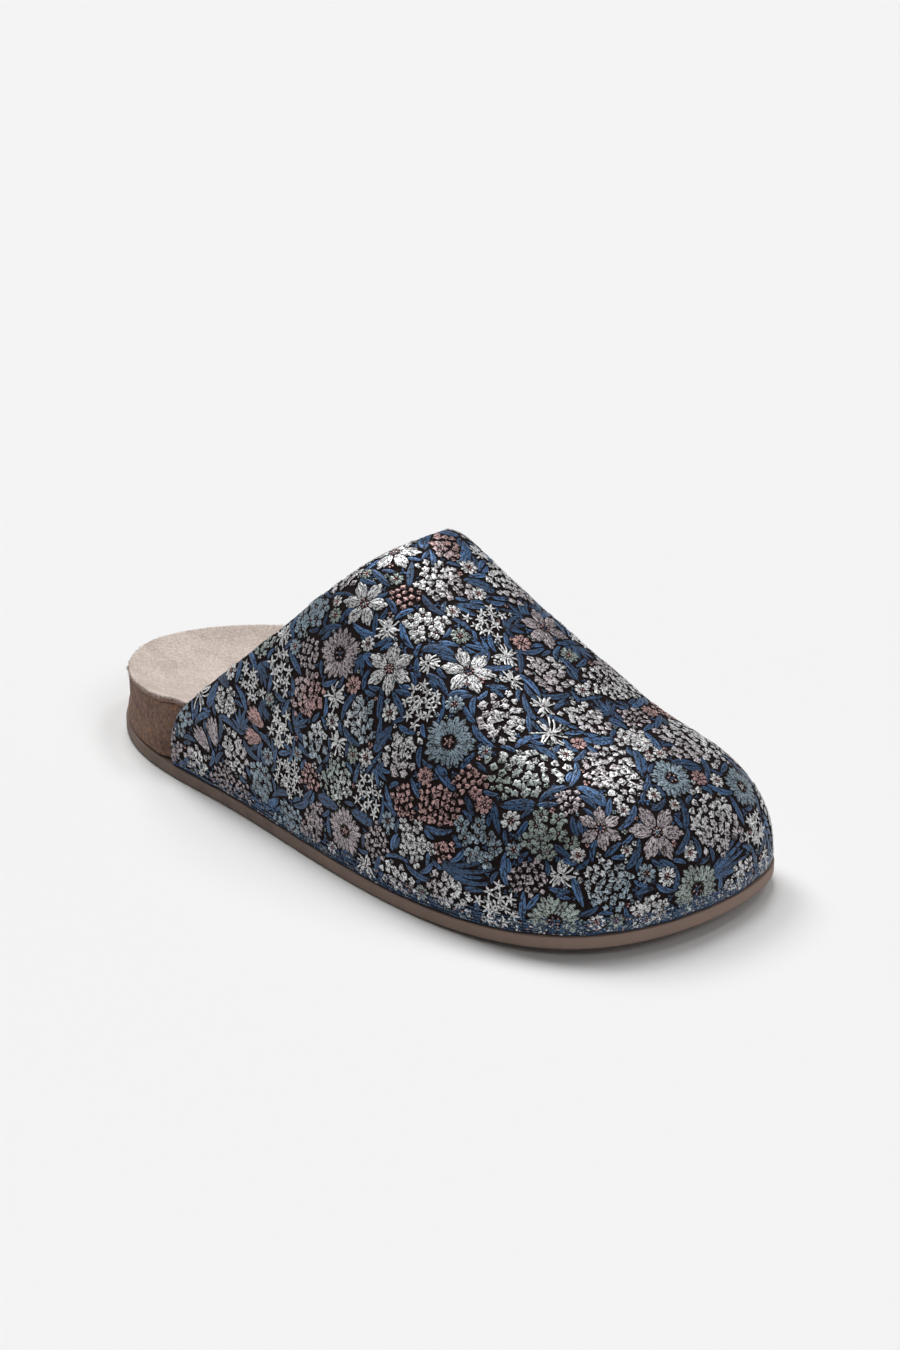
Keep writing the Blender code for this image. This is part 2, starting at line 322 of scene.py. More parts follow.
class ClosedCurve:
    """Smooth closed curve through points, read by the share of the way round."""

    def __init__(self, points):
        self.points = np.array(points)
        ahead = np.roll(self.points, -1, axis=0)
        self.steps = np.linalg.norm(ahead - self.points, axis=1)
        self.starts = np.concatenate([[0.0], np.cumsum(self.steps)])
        count = len(points)
        weights = np.zeros((count, count))
        pulls = np.zeros((count, 2))
        for i in range(count):
            before, after = self.steps[i - 1], self.steps[i]
            weights[i, i - 1] = after
            weights[i, i] = 2 * (before + after)
            weights[i, (i + 1) % count] = before
            rise_before = (self.points[i] - self.points[i - 1]) / before
            rise_after = (ahead[i] - self.points[i]) / after
            pulls[i] = 3 * (before * rise_after + after * rise_before)
        self.slopes = np.linalg.solve(weights, pulls)

    def share_at(self, index):
        """Share of the way round at one of the points."""
        return self.starts[index] / self.starts[-1]

    def at(self, share):
        """Points of the curve."""
        way = np.mod(share, 1.0) * self.starts[-1]
        i = np.minimum(np.searchsorted(self.starts, way, side="right") - 1, len(self.steps) - 1)
        j = (i + 1) % len(self.steps)
        span = self.steps[i][..., None]
        part = (way - self.starts[i])[..., None] / span
        return hermite(part, span, self.points[i], self.points[j], self.slopes[i], self.slopes[j])

    def outward(self, share, reach=0.0001):
        """Unit vectors pointing out of the curve."""
        along = self.at(share + reach) - self.at(share - reach)
        out = np.stack([along[..., 1], -along[..., 0]], axis=-1)
        return out / np.linalg.norm(out, axis=-1, keepdims=True)


RIM_CURVE = ClosedCurve([(row.x, row.y) for row in OUTLINE])
TOE_SHARE = RIM_CURVE.share_at([row.place for row in OUTLINE].index("toe tip"))
LENGTH = max(row.x for row in OUTLINE)
RIM_POINTS = RIM_CURVE.at(np.linspace(0, 1, 721))
MIDDLE = np.append((RIM_POINTS.min(axis=0) + RIM_POINTS.max(axis=0)) / 2, 0.0)


def to_frame(points):
    """Points in metres over the frame's origin."""
    return (np.asarray(points) - MIDDLE) * MM


def from_frame(points):
    """Points in millimetres from the back of the heel."""
    return np.asarray(points) / MM + MIDDLE


def edge(way, side, inset):
    """Points of the outline, way from the heel (0) to the toe (1), moved in by inset."""
    share = TOE_SHARE * way if side == OUTER else 1 - (1 - TOE_SHARE) * way
    return RIM_CURVE.at(share) - RIM_CURVE.outward(share) * np.asarray(inset)[..., None]


def station(way):
    """Middle of the sole between the two sides."""
    return (edge(way, OUTER, 0.0) + edge(way, INNER, 0.0)) / 2


def fan_x(x):
    """Place on the middle line from which the section at x fans out."""
    toe_power = (LENGTH - FAN_START) / (FAN_TOE - FAN_START)
    heel_power = FAN_START / (FAN_START - FAN_HEEL)
    ahead = np.clip((x - FAN_START) / (LENGTH - FAN_START), 0.0, 1.0)
    behind = np.clip((FAN_START - x) / FAN_START, 0.0, 1.0)
    to_toe = (FAN_TOE - FAN_START) * (1 - (1 - ahead) ** toe_power)
    to_heel = (FAN_START - FAN_HEEL) * (1 - (1 - behind) ** heel_power)
    return FAN_START + to_toe - to_heel


def fan_middle(way):
    """Points of the middle line from which the sections fan out."""
    middle = station(way)
    middle[..., 0] = fan_x(middle[..., 0])
    return middle


def spring(x):
    """Height of the sole's underside above the floor along the toe spring."""
    return TOE_SPRING * np.maximum(0.0, (x - SPRING_START) / (LENGTH - SPRING_START)) ** 2


def underside(plan):
    """Height of the outsole's underside, with the hollow under the inner waist."""
    share = np.clip((plan[..., 0] - WAIST_START) / (WAIST_END - WAIST_START), 0.0, 1.0)
    hollow = WAIST_HOLLOW * np.sin(pi * share) ** 2 * smooth_step(plan[..., 1], 0.0, WAIST_FADE)
    return spring(plan[..., 0]) + hollow


def deck(x):
    """Height of the outsole's top."""
    return spring(x) + OUTSOLE_SIDE


def lift(plan, height):
    """Points at a height over plan points."""
    height = np.broadcast_to(height, plan.shape[:-1])
    return np.concatenate([plan, height[..., None]], axis=-1)


def between(start, end, shares):
    """Plan points at shares of the way from one row of points to another, a column for each share."""
    return start[:, None, :] + (end - start)[:, None, :] * np.asarray(shares)[None, :, None]


def footbed(way, side, rim, shares, drop):
    """Points of the dished footbed at shares of the way from its middle to its rim, lowered by drop."""
    middle = fan_middle(way)
    low = read(FOOTBED, "floor", middle[:, 0])[:, None]
    high = read(FOOTBED, side + "_rim", rim[:, 0])[:, None]
    height = low + (high - low) * np.asarray(shares)[None, :] ** DISH_POWER - drop
    return lift(between(middle, rim, shares), height)


def covered(way, bare, under):
    """Distance in from the outline for a wall that steps in under the upper."""
    return bare + (under - bare) * smooth_step(station(way)[:, 0], COVER_START, COVER_END)


def arch_points(way, side, angle):
    """Points of the upper's outer face: the hem at angle 0, the crest at a right angle."""
    hem = edge(way, side, UPPER_INSET)
    crest_x = fan_x(station(way)[..., 0])
    crest = np.stack([crest_x, read(CREST, "offset", crest_x)], axis=-1)
    out = np.maximum(np.cos(angle), 0.0) ** read(FULLNESS, "side", hem[..., 0])
    up = np.sin(angle) ** read(FULLNESS, "top", hem[..., 0])
    plan = crest + (hem - crest) * out[..., None]
    low = deck(hem[..., 0]) + GAP
    return lift(plan, low + (read(CREST, "height", plan[..., 0]) - low) * up)


def throat_way(side, angle, setback):
    """Way along the sole at which the cloth starts, at an angle up its side."""
    height = np.sin(angle) ** read(FULLNESS, "top", (QUARTER_BACK + THROAT_FRONT) / 2)
    share = max(0.0, (height - THROAT_LIFT) / (1 - THROAT_LIFT)) ** THROAT_SWEEP
    x = QUARTER_BACK + (THROAT_FRONT - QUARTER_BACK) * share + setback
    ways = np.linspace(*THROAT_WAYS, 241)
    return float(np.interp(x, arch_points(ways, side, angle)[:, 0], ways))


def upper_grid(rows, columns, setback):
    """Rows of points round the toe, from the hem to the crest, finer near both."""
    ease = 1.35
    share = np.linspace(0, 1, rows)
    angles = pi / 2 * share ** ease / (share ** ease + (1 - share) ** ease)
    grid = []
    for angle in angles:
        sides = []
        for side in (OUTER, INNER):
            ways = np.linspace(throat_way(side, angle, setback), 1, columns)
            sides.append(arch_points(ways, side, angle))
        grid.append(np.concatenate([sides[0], sides[1][-2::-1]]))
    return np.array(grid)


def grid_shape(grid, fields=None):
    """Sheet of faces over rows of points in millimetres; points that fall together are merged."""
    rows, columns = grid.shape[:2]
    shape = bmesh.new()
    bmesh.ops.create_grid(shape, x_segments=columns - 1, y_segments=rows - 1)
    layers = shape.verts.layers
    stored = []
    for name, field in (fields or {}).items():
        kind = layers.float if field.ndim == 2 else layers.float_vector
        stored.append((kind.new(name), field.reshape(-1, *field.shape[2:])))
    shape.verts.ensure_lookup_table()
    for i, point in enumerate(to_frame(grid).reshape(-1, 3)):
        vert = shape.verts[i]
        vert.co = point
        for key, field in stored:
            vert[key] = field[i]
    bmesh.ops.remove_doubles(shape, verts=shape.verts, dist=MERGE * MM)
    bmesh.ops.recalc_face_normals(shape, faces=shape.faces)
    shape.normal_update()
    return shape


def add_piece(name, shape, material):
    """Object made from a bmesh, riding on the shoe's one body."""
    mesh = bpy.data.meshes.new(name)
    shape.to_mesh(mesh)
    shape.free()
    return add_mesh(name, mesh, material)


def add_mesh(name, mesh, material):
    """Object made from a mesh, riding on the shoe's one body."""
    mesh.shade_smooth()
    mesh.materials.append(material)
    piece = bpy.data.objects.new(name, mesh)
    bpy.context.scene.collection.objects.link(piece)
    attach(piece, BODY)
    return piece


class Wire:
    """Output of a material's node; arithmetic on it adds Math nodes."""

    def __init__(self, tree, socket=None):
        self.tree = tree
        self.socket = socket

    def node(self, kind, settings=None, inputs=None, output=0):
        """New node with its settings made first and its sockets then given values or links."""
        made = self.tree.nodes.new(kind)
        for key, value in (settings or {}).items():
            setattr(made, key, value)
        for key, value in (inputs or {}).items():
            if isinstance(value, Wire):
                self.tree.links.new(value.socket, made.inputs[key])
            else:
                made.inputs[key].default_value = value
        return Wire(self.tree, made.outputs[output])

    def math(self, operation, *values):
        """Math node over numbers and wires."""
        return self.node("ShaderNodeMath", {"operation": operation}, dict(enumerate(values)))

    def __add__(self, other):
        return self.math("ADD", self, other)

    __radd__ = __add__

    def __sub__(self, other):
        return self.math("SUBTRACT", self, other)

    def __rsub__(self, other):
        return self.math("SUBTRACT", other, self)

    def __mul__(self, other):
        return self.math("MULTIPLY", self, other)

    __rmul__ = __mul__

    def between(self, start, end):
        """Soft rise from 0 to 1 between two values."""
        settings = {"interpolation_type": "SMOOTHSTEP"}
        return self.node("ShaderNodeMapRange", settings, {0: self, 1: start, 2: end, 3: 0.0, 4: 1.0})

    def axis(self, index):
        """One coordinate of a vector."""
        return self.node("ShaderNodeSeparateXYZ", {}, {0: self}, index)


class Finish:
    """Material under construction, with the textures that the shoe's finishes share."""

    def __init__(self, name):
        self.material = bpy.data.materials.new(name)
        self.material.use_nodes = True
        self.tree = self.material.node_tree
        self.shader = self.tree.nodes["Principled BSDF"]
        self.wire = Wire(self.tree)
        self.place = self.wire.node("ShaderNodeTexCoord", output="Object")

    def scaled(self, x, y, z):
        """Object coordinates in millimetres, each stretched to its own grain size."""
        scale = (1 / (x * MM), 1 / (y * MM), 1 / (z * MM))
        return self.wire.node("ShaderNodeMapping", {}, {"Vector": self.place, "Scale": scale})

    def grain(self, x, y=None, z=None, detail=2.0, rough=0.5):
        """Noise whose grains have the given sizes in millimetres."""
        place = self.scaled(x, y or x, z or x)
        inputs = {"Vector": place, "Scale": 1.0, "Detail": detail, "Roughness": rough}
        return self.wire.node("ShaderNodeTexNoise", {}, inputs)

    def cell_tones(self, size):
        """Grey of its own for each grain of a size in millimetres."""
        inputs = {"Vector": self.scaled(size, size, size), "Scale": 1.0}
        grains = self.wire.node("ShaderNodeTexVoronoi", {}, inputs, "Color")
        return self.wire.node("ShaderNodeSeparateColor", {}, {"Color": grains})

    def mix(self, share, start, end):
        """Colour between two colours or wires."""
        inputs = {0: share, 6: self.colour(start), 7: self.colour(end)}
        return self.wire.node("ShaderNodeMix", {"data_type": "RGBA"}, inputs, 2)

    @staticmethod
    def colour(value):
        """Wire as it is, or a colour with its alpha."""
        return value if isinstance(value, Wire) else (*value, 1.0)

    def attribute(self, name, output="Color"):
        """Values stored on the piece's own mesh."""
        return self.wire.node("ShaderNodeAttribute", {"attribute_name": name}, {}, output)

    def bump(self, height, depth):
        """Normal of a relief whose full height is depth millimetres."""
        inputs = {"Height": height, "Distance": depth * MM, "Strength": 1.0}
        return self.wire.node("ShaderNodeBump", {}, inputs)

    def set(self, **values):
        """Fill the shader's sockets, named with underscores, and give back the material."""
        for name, value in values.items():
            socket = self.shader.inputs[name.replace("_", " ")]
            if isinstance(value, Wire):
                self.tree.links.new(value.socket, socket)
            else:
                socket.default_value = value if np.ndim(value) == 0 else (*value, 1.0)
        return self.material


def rubber_finish(settings):
    """Matt moulded rubber with a dusty grain, and painted light that makes it paler towards the toe."""
    finish = Finish("mule_rubber")
    cloud = finish.grain(9.0, detail=3.0)
    dust = finish.grain(0.6)
    tone = (cloud * 0.6 + dust * 0.4).between(0.34, 0.66)
    body = finish.mix(tone, toned(settings.rubber, 0.78), toned(settings.rubber, 1.16))
    # Painted light: the rubber is painted paler towards the toe, in place of the extra light that falls on
    # the toe's rim
    toe_painted_light = finish.place.axis(0).between(-30 * MM, 115 * MM) * 0.7
    return finish.set(
        Base_Color=finish.mix(toe_painted_light, body, toned(settings.rubber, 1.6)),
        Roughness=0.62 + 0.22 * dust,
        Specular_IOR_Level=0.35,
        Normal=finish.bump(dust, 0.05))


def cork_finish(settings):
    """Brushed cork: uneven brown with upright strokes, warm flecks, pale fibres and dark pits."""
    finish = Finish("mule_cork")
    tone = finish.cell_tones(1.3)
    cloud = finish.grain(6.0, detail=3.0)
    brushed = finish.grain(0.6, 0.6, 3.2, detail=3.0, rough=0.6)
    fine = finish.grain(0.55, detail=3.0, rough=0.65)
    share = tone * 0.2 + cloud * 0.3 + brushed * 0.3 + fine * 0.2
    body = finish.mix(share.between(0.3, 0.68), toned(settings.cork, 0.62), toned(settings.cork, 1.3))
    flecks = finish.grain(1.8, 1.8, 2.6, detail=4.0, rough=0.7).between(0.56, 0.68)
    flecked = finish.mix(flecks * 0.75, body, settings.cork_fleck)
    fibres = finish.grain(0.5, 0.5, 1.5).between(0.64, 0.72)
    lit = finish.mix(fibres * 0.6, flecked, toned(settings.cork, 1.75))
    pits = finish.grain(0.9, 0.9, 0.7, detail=3.0, rough=0.6).between(0.61, 0.69)
    return finish.set(
        Base_Color=finish.mix(pits * 0.75, lit, settings.cork_pit),
        Roughness=0.8 + 0.15 * fine,
        Specular_IOR_Level=0.25,
        Normal=finish.bump(fine * 0.4 + brushed * 0.4 + tone * 0.2 - pits * 0.8, 0.2))


def suede_finish(settings, below):
    """Short nap with fine speckles; its cut edge frays into the colour below."""
    finish = Finish("mule_suede")
    brushed = finish.grain(17.0, 9.0, 9.0, detail=3.0)
    nap = finish.grain(1.0, detail=3.0, rough=0.65)
    fibre = finish.grain(0.42)
    tone = (brushed * 0.26 + nap * 0.42 + fibre * 0.32).between(0.38, 0.62)
    napped = finish.mix(tone, settings.suede_dark, settings.suede)
    drop = finish.attribute("drop", "Fac")
    ragged = finish.grain(0.9, 0.9, 1.8, detail=3.0, rough=0.6)
    frayed = (drop + (ragged - 0.5) * 2.4).between(0.4, 0.7) * drop.between(0.0, 0.08)
    backing = finish.mix(fibre.between(0.4, 0.62), below, toned(below, 1.12))
    return finish.set(
        Base_Color=finish.mix(frayed, napped, backing),
        Roughness=0.9 + 0.08 * nap,
        Specular_IOR_Level=0.2,
        Sheen_Weight=0.1,
        Sheen_Roughness=0.5,
        Normal=finish.bump(nap * 0.5 + fibre * 0.5, 0.16))


def lining_finish(settings):
    """Plain woven lining."""
    finish = Finish("mule_lining")
    yarn = finish.grain(2.4, 0.45, 0.45)
    tone = (yarn * 0.6 + finish.grain(12.0) * 0.4).between(0.35, 0.62)
    return finish.set(
        Base_Color=finish.mix(tone, toned(settings.lining_colour, 0.84), settings.lining_colour),
        Roughness=0.86,
        Specular_IOR_Level=0.2,
        Normal=finish.bump(yarn, 0.1))


def ground_finish(settings, blue):
    """Dark twill ground of the brocade, with blue yarn along the very edge of the hem."""
    finish = Finish("mule_brocade_ground")
    weave = finish.attribute("weave", "Vector")
    up = weave.axis(1)
    twill = finish.wire.math("SINE", (weave.axis(0) + up) * (tau / 0.62)) * 0.5 + 0.5
    yarn = finish.grain(0.6)
    warp = finish.mix(yarn.between(0.45, 0.75), settings.ground, toned(settings.ground, 2.2))
    edge_yarn = (1 - up.between(0.6, 1.8)) * 0.55
    return finish.set(
        Base_Color=finish.mix(edge_yarn, warp, blue),
        Roughness=0.7 + 0.2 * yarn,
        Specular_IOR_Level=0.08,
        Normal=finish.bump(twill * 0.6 + yarn * 0.4, 0.05))


def thread_finish(ground):
    """Silky floats in the colours stored on the mesh, with stepped edges and dark binding points."""
    finish = Finish("mule_brocade_thread")
    colour = finish.attribute("thread")
    pricked = finish.attribute("thread", "Alpha")
    inside = finish.attribute("inside", "Fac")
    strand = finish.attribute("strand", "Vector")

    def threads(along, across, detail=1.0):
        place = finish.wire.node("ShaderNodeMapping", {}, {"Vector": strand, "Scale": (along, across, 1.0)})
        return finish.wire.node("ShaderNodeTexNoise", {}, {"Vector": place, "Scale": 1.0, "Detail": detail})

    steps = threads(1.5, 2.2)
    float_edge = (inside + steps * 0.9).between(0.9, 1.02)
    binding = threads(0.9, 1.8) + pricked * 0.07
    pricks = binding.between(0.6, 0.65)
    specks = threads(2.3, 2.5, 0.0)
    pits = (1 - specks).between(0.55, 0.67) * 0.75 * pricked
    streak = threads(0.4, 2.4)
    depth = 0.5 - 0.2 * pricked
    streaked = finish.mix((1 - streak).between(0.45, 0.62) * depth, colour, ground)
    woven = finish.mix(finish.wire.math("MAXIMUM", pricks * 0.92, pits), streaked, ground)
    return finish.set(
        Base_Color=finish.mix(float_edge, ground, woven),
        Metallic=0.42,
        Roughness=0.3 + 0.2 * streak,
        Specular_IOR_Level=0.3,
        Normal=finish.bump(streak * 0.6 + float_edge * 0.4 - pricks * 0.5 - pits * 0.4, 0.1))


def layer_shape(half, sections, fields=None):
    """Closed layer of the sole, from half sections running from its underside round to its top."""
    way = np.linspace(0, 1, sections + 1)
    grid = np.concatenate([half(way, INNER), half(way, OUTER)[:, ::-1]], axis=1)
    rows = {name: np.concatenate([values, values[::-1]]) for name, values in (fields or {}).items()}
    return grid_shape(grid, {name: np.tile(row, (len(way), 1)) for name, row in rows.items()})


def quarter(count):
    """Angles of a quarter turn, without its two ends."""
    return np.linspace(0, pi / 2, count + 2)[1:-1]


def outsole_half(settings):
    """Function of the outsole's half section, with its grooved underside and rounded edges."""
    pitch, width, depth = settings.tread_pitch / MM, settings.tread_width / MM, settings.tread_depth / MM
    margin, sway, sway_length, top_round = 0.9, 1.8, 6.5, 0.45

    def grooves(plan, shares):
        wave = plan[..., 0] + sway * np.sin(plan[..., 1] / sway_length)
        away = np.abs(np.mod(wave / pitch, 1.0) - 0.5) * pitch
        inside = 1 - smooth_step(shares, margin - 0.05, margin)
        return depth * (1 - smooth_step(away, width / 2 - 0.5, width / 2 + 0.5)) * inside

    def half(way, side):
        middle = fan_middle(way)
        foot = edge(way, side, OUTSOLE_ROUND)
        shares = np.concatenate([np.linspace(0, 0.84, 22), np.linspace(0.86, 1, 8)])
        plan = between(middle, foot, shares)
        parts = [lift(plan, underside(plan) + grooves(plan, shares[None, :]))]
        floor = underside(foot)
        for angle in quarter(4):
            rim = edge(way, side, OUTSOLE_ROUND * (1 - sin(angle)))
            top = spring(rim[:, 0]) + OUTSOLE_ROUND
            parts.append(lift(rim, top - (top - floor) * cos(angle))[:, None])
        rim = edge(way, side, 0.0)
        low, high = spring(rim[:, 0]) + OUTSOLE_ROUND, deck(rim[:, 0]) - top_round
        for share in (0, 0.33, 0.67, 1):
            parts.append(lift(rim, low + (high - low) * share)[:, None])
        for angle in (*quarter(2), pi / 2):
            rim = edge(way, side, top_round * (1 - cos(angle)))
            parts.append(lift(rim, deck(rim[:, 0]) - top_round * (1 - sin(angle)))[:, None])
        plan = between(middle, rim, (0.9, 0.7, 0.4, 0))
        parts.append(lift(plan, deck(plan[..., 0])))
        return np.concatenate(parts, axis=1)

    return half


def core_half(way, side):
    """Half section of the cork core, with its soft flare above the outsole and its dished top."""
    flare_start, flare_end, foot_round = 7.4, 12.6, 0.5
    middle = fan_middle(way)
    foot_inset = covered(way, BARE_FOOT, COVERED_FOOT)
    waist_inset = covered(way, BARE_WAIST, COVERED_RIM)
    rim_inset = covered(way, BARE_RIM, COVERED_RIM)
    foot = edge(way, side, foot_inset + foot_round)
    plan = between(middle, foot, (0, 0.5, 0.85, 1))
    parts = [lift(plan, deck(plan[..., 0]) + GAP)]
    rim = edge(way, side, rim_inset)
    drop = FOOTBED_THICKNESS + GAP
    top = footbed(way, side, rim, (1.0,), drop)[:, 0, 2]
    for angle in (*quarter(2), pi / 2):
        plan = edge(way, side, foot_inset + foot_round * (1 - sin(angle)))
        parts.append(lift(plan, deck(plan[:, 0]) + GAP + foot_round * (1 - cos(angle)))[:, None])
    low = deck(foot[:, 0]) + GAP + foot_round
    for share in np.linspace(0, 1, 18)[1:]:
        height = low + (top - low) * share
        flare = smooth_step(height - spring(foot[:, 0]), flare_start, flare_end)
        inset = foot_inset + (waist_inset - foot_inset) * flare + (rim_inset - waist_inset) * share * flare
        parts.append(lift(edge(way, side, inset), height)[:, None])
    parts.append(footbed(way, side, rim, (0.97, 0.9, 0.78, 0.62, 0.42, 0.2, 0), drop))
    return np.concatenate(parts, axis=1)


UNDER_SHARES = np.array((0, 0.22, 0.46, 0.68, 0.84, 0.94, 1))
UNDER_DROPS = FOOTBED_THICKNESS + (GAP - 0.01) * (UNDER_SHARES == 1)
TOP_SHARES = np.concatenate([np.linspace(1, 0.8, 9), np.linspace(0.76, 0, 20)])
EDGE_TURNS = np.linspace(0, pi / 2, 5)[:-1]


def suede_drops(settings):
    """How far each point of the footbed's half section lies below its upper face, counted over the edge."""
    turned = settings.edge_round / MM * (1 - np.sin(EDGE_TURNS))
    return np.concatenate([UNDER_DROPS, turned, np.zeros(len(TOP_SHARES))])


def suede_half(settings):
    """Function of the footbed's half section, a sheet with a soft cut edge."""
    edge_round, waver = settings.edge_round / MM, settings.edge_waver / MM
    bare_end, covered_start = 0.3, 0.34

    def uneven(way, side):
        rim = edge(way, side, 0.0)
        wander = [noise.noise((x / 3.1, y / 3.1, 4.0)) + 0.6 * noise.noise((x, y, 9.0)) for x, y in rim]
        return waver * np.array(wander)

    def half(way, side):
        bare = 1 - smooth_step(way, bare_end, covered_start)
        inset = covered(way, BARE_RIM, COVERED_RIM) + uneven(way, side) * bare
        rim = edge(way, side, inset)
        parts = [footbed(way, side, rim, UNDER_SHARES, UNDER_DROPS)]
        for angle in EDGE_TURNS:
            turned = edge(way, side, inset + edge_round * (1 - cos(angle)))
            parts.append(footbed(way, side, turned, (1.0,), edge_round * (1 - sin(angle))))
        turned = edge(way, side, inset + edge_round)
        parts.append(footbed(way, side, turned, TOP_SHARES, 0.0))
        return np.concatenate(parts, axis=1)

    return half


def fuzz_mesh(settings, rng):
    """Tufts of fibres hanging over the suede's cut edge, each fibre a thin three-sided spike."""
    back, tuft, tuft_width, inset, thickness = 0.265, 10, 0.0018, 0.2, 0.1
    outward, droop, scatter = 0.8, 0.75, 0.45
    count = settings.fuzz_count // (2 * tuft) * tuft
    points, faces = [], []
    for side in (OUTER, INNER):
        middles = np.repeat(rng.uniform(0, back, count // tuft), tuft)
        ways = np.clip(middles + rng.normal(0, tuft_width, count), 0, back)
        sunk = rng.uniform(-0.1, 0.5, count)
        rim = edge(ways, side, covered(ways, BARE_RIM, COVERED_RIM) + inset)
        roots = lift(rim, read(FOOTBED, side + "_rim", rim[:, 0]) - sunk)
        out = lift(edge(ways, side, 0.0) - edge(ways, side, 1.0), 0.0)
        lean = rng.normal(0, scatter, (count, 3)) - np.array((0, 0, droop))
        reach = np.repeat(rng.uniform(0.35, 1.6, count // tuft), tuft) * rng.uniform(0.6, 1.1, count)
        reach *= settings.fuzz_length / MM
        ahead = out * outward + lean
        ahead /= np.linalg.norm(ahead, axis=1, keepdims=True)
        breadth = np.cross(ahead, rng.normal(0, 1, (count, 3)))
        breadth *= thickness / np.linalg.norm(breadth, axis=1, keepdims=True)
        third = np.cross(ahead, breadth)
        for i in range(count):
            start = len(points)
            for turn in range(3):
                around = breadth[i] * cos(turn * tau / 3) + third[i] * sin(turn * tau / 3)
                points.append(roots[i] + around)
            points.append(roots[i] + ahead[i] * reach[i])
            a, b, c, tip = range(start, start + 4)
            faces += [(a, b, tip), (b, c, tip), (c, a, tip), (a, c, b)]
    mesh = bpy.data.meshes.new("footbed_fuzz")
    mesh.from_pydata(to_frame(points), [], faces)
    return mesh


def walked(grid, axis):
    """Distance to each point of a sheet, up its columns (axis 0) or along its rows (axis 1)."""
    steps = np.linalg.norm(np.diff(grid, axis=axis), axis=2)
    return np.insert(np.cumsum(steps, axis=axis), 0, 0.0, axis=axis)


def crease_depth(points):
    """How far the listed creases push each point in."""
    depth = np.zeros(len(points))
    for crease in CREASES:
        run = np.array((crease.run_x, crease.run_y))
        run /= np.linalg.norm(run)
        away = points[:, :2] - np.array((crease.x, crease.y))
        along = away @ run
        across = away @ np.array((-run[1], run[0]))
        fade = np.exp(-(along / (crease.length / 2)) ** 2) - 0.2
        depth += crease.depth * np.maximum(fade, 0) * np.exp(-(across / (crease.width / 2)) ** 2)
    return depth


def dress(shape, settings):
    """Move the cloth's points: droop at the throat, tuck, gathers and seam at the hem, creases."""
    droop, droop_width, droop_low, droop_high = settings.edge_droop / MM, 8.0, 4.0, 16.0
    tuck, tuck_height = settings.hem_tuck / MM, 4.2
    pucker, pucker_height, spacing = settings.pucker_depth / MM, 10.0, settings.pucker_length / MM
    lump, lump_size = 0.16, 13
    seam_depth, seam_height, seam_width = 0.45, 5.4, 0.9
    away = np.array([vert[shape.verts.layers.float["edge_distance"]] for vert in shape.verts])
    points = from_frame([vert.co for vert in shape.verts])
    normals = np.array([vert.normal for vert in shape.verts])
    above = points[:, 2] - deck(points[:, 0]) - GAP
    near_throat = np.clip(1 - away / droop_width, 0, 1) ** 2
    near_hem = np.clip(1 - above / tuck_height, 0, 1) ** 2
    gather = np.clip(1 - above / pucker_height, 0, 1) ** 1.5
    ripple = np.array([noise.noise((x / spacing, y / spacing, 0.4)) + 0.5 * noise.noise(
        (x / spacing * 2.3, y / spacing * 2.3, 3.7)) for x, y, z in points])
    lumps = np.array([noise.noise((x / lump_size, y / lump_size, z / lump_size)) for x, y, z in points])
    push = pucker * ripple * gather + lump * lumps - crease_depth(points)
    push -= droop * near_throat * smooth_step(above, droop_low, droop_high) + tuck * near_hem
    push -= seam_depth * np.exp(-((above - seam_height) / seam_width) ** 2)
    for vert, point in zip(shape.verts, to_frame(points + normals * push[:, None])):
        vert.co = point
    shape.normal_update()


def throat_edges(shape):
    """Boundary edges of the sheet along the throat."""
    key = shape.verts.layers.float["edge_distance"]
    return [e for e in shape.edges if e.is_boundary and all(vert[key] < 1e-6 for vert in e.verts)]


def outward_at(edges):
    """For each point of a boundary, its place, its normal and the way out of the sheet."""
    ways = {}
    for item in edges:
        run = (item.verts[1].co - item.verts[0].co).normalized()
        away = (item.verts[0].co + item.verts[1].co) / 2 - item.link_faces[0].calc_center_median()
        away -= run * away.dot(run)
        for vert in item.verts:
            ways.setdefault(vert, Vector()).xyz += away.normalized()
    guides = {}
    for vert, way in ways.items():
        way -= vert.normal * way.dot(vert.normal)
        guides[vert] = (vert.co.copy(), vert.normal.copy(), way.normalized())
    return guides


def extend(shape, edges, steps):
    """Grow a boundary by a strip of faces for each step, which gives how far new points go out and in."""
    guides = outward_at(edges)
    loops = [item.link_loops[0] for item in edges]
    sides = [(loop.link_loop_next.vert, loop.vert) for loop in loops]
    for out, sink in steps:
        grown = {}
        for vert, (place, normal, way) in guides.items():
            grown[vert] = shape.verts.new(place + (way * out - normal * sink) * MM, vert)
        for start, end in sides:
            shape.faces.new((start, end, grown[end], grown[start]))
        sides = [(grown[start], grown[end]) for start, end in sides]
        guides = {grown[vert]: guide for vert, guide in guides.items()}
    bmesh.ops.recalc_face_normals(shape, faces=shape.faces)
    shape.normal_update()


def face_out(shape):
    """Turn an open sheet so that its highest face looks up."""
    top = max(shape.faces, key=lambda face: face.calc_center_median().z)
    if top.normal.z < 0:
        bmesh.ops.reverse_faces(shape, faces=shape.faces)
    shape.normal_update()


def draped_sheet(settings, rows, columns, woven):
    """Open sheet over the last, lying as the cloth does; if woven, it keeps each point's place in it."""
    grid = upper_grid(rows, columns, settings.edge_roll / MM)
    along, up = walked(grid, 1), walked(grid, 0)
    fields = {"edge_distance": np.minimum(along, along[:, -1:] - along)}
    if woven:
        fields["weave"] = np.stack([along, up, np.zeros_like(up)], axis=-1)
    shape = grid_shape(grid, fields)
    face_out(shape)
    dress(shape, settings)
    return shape


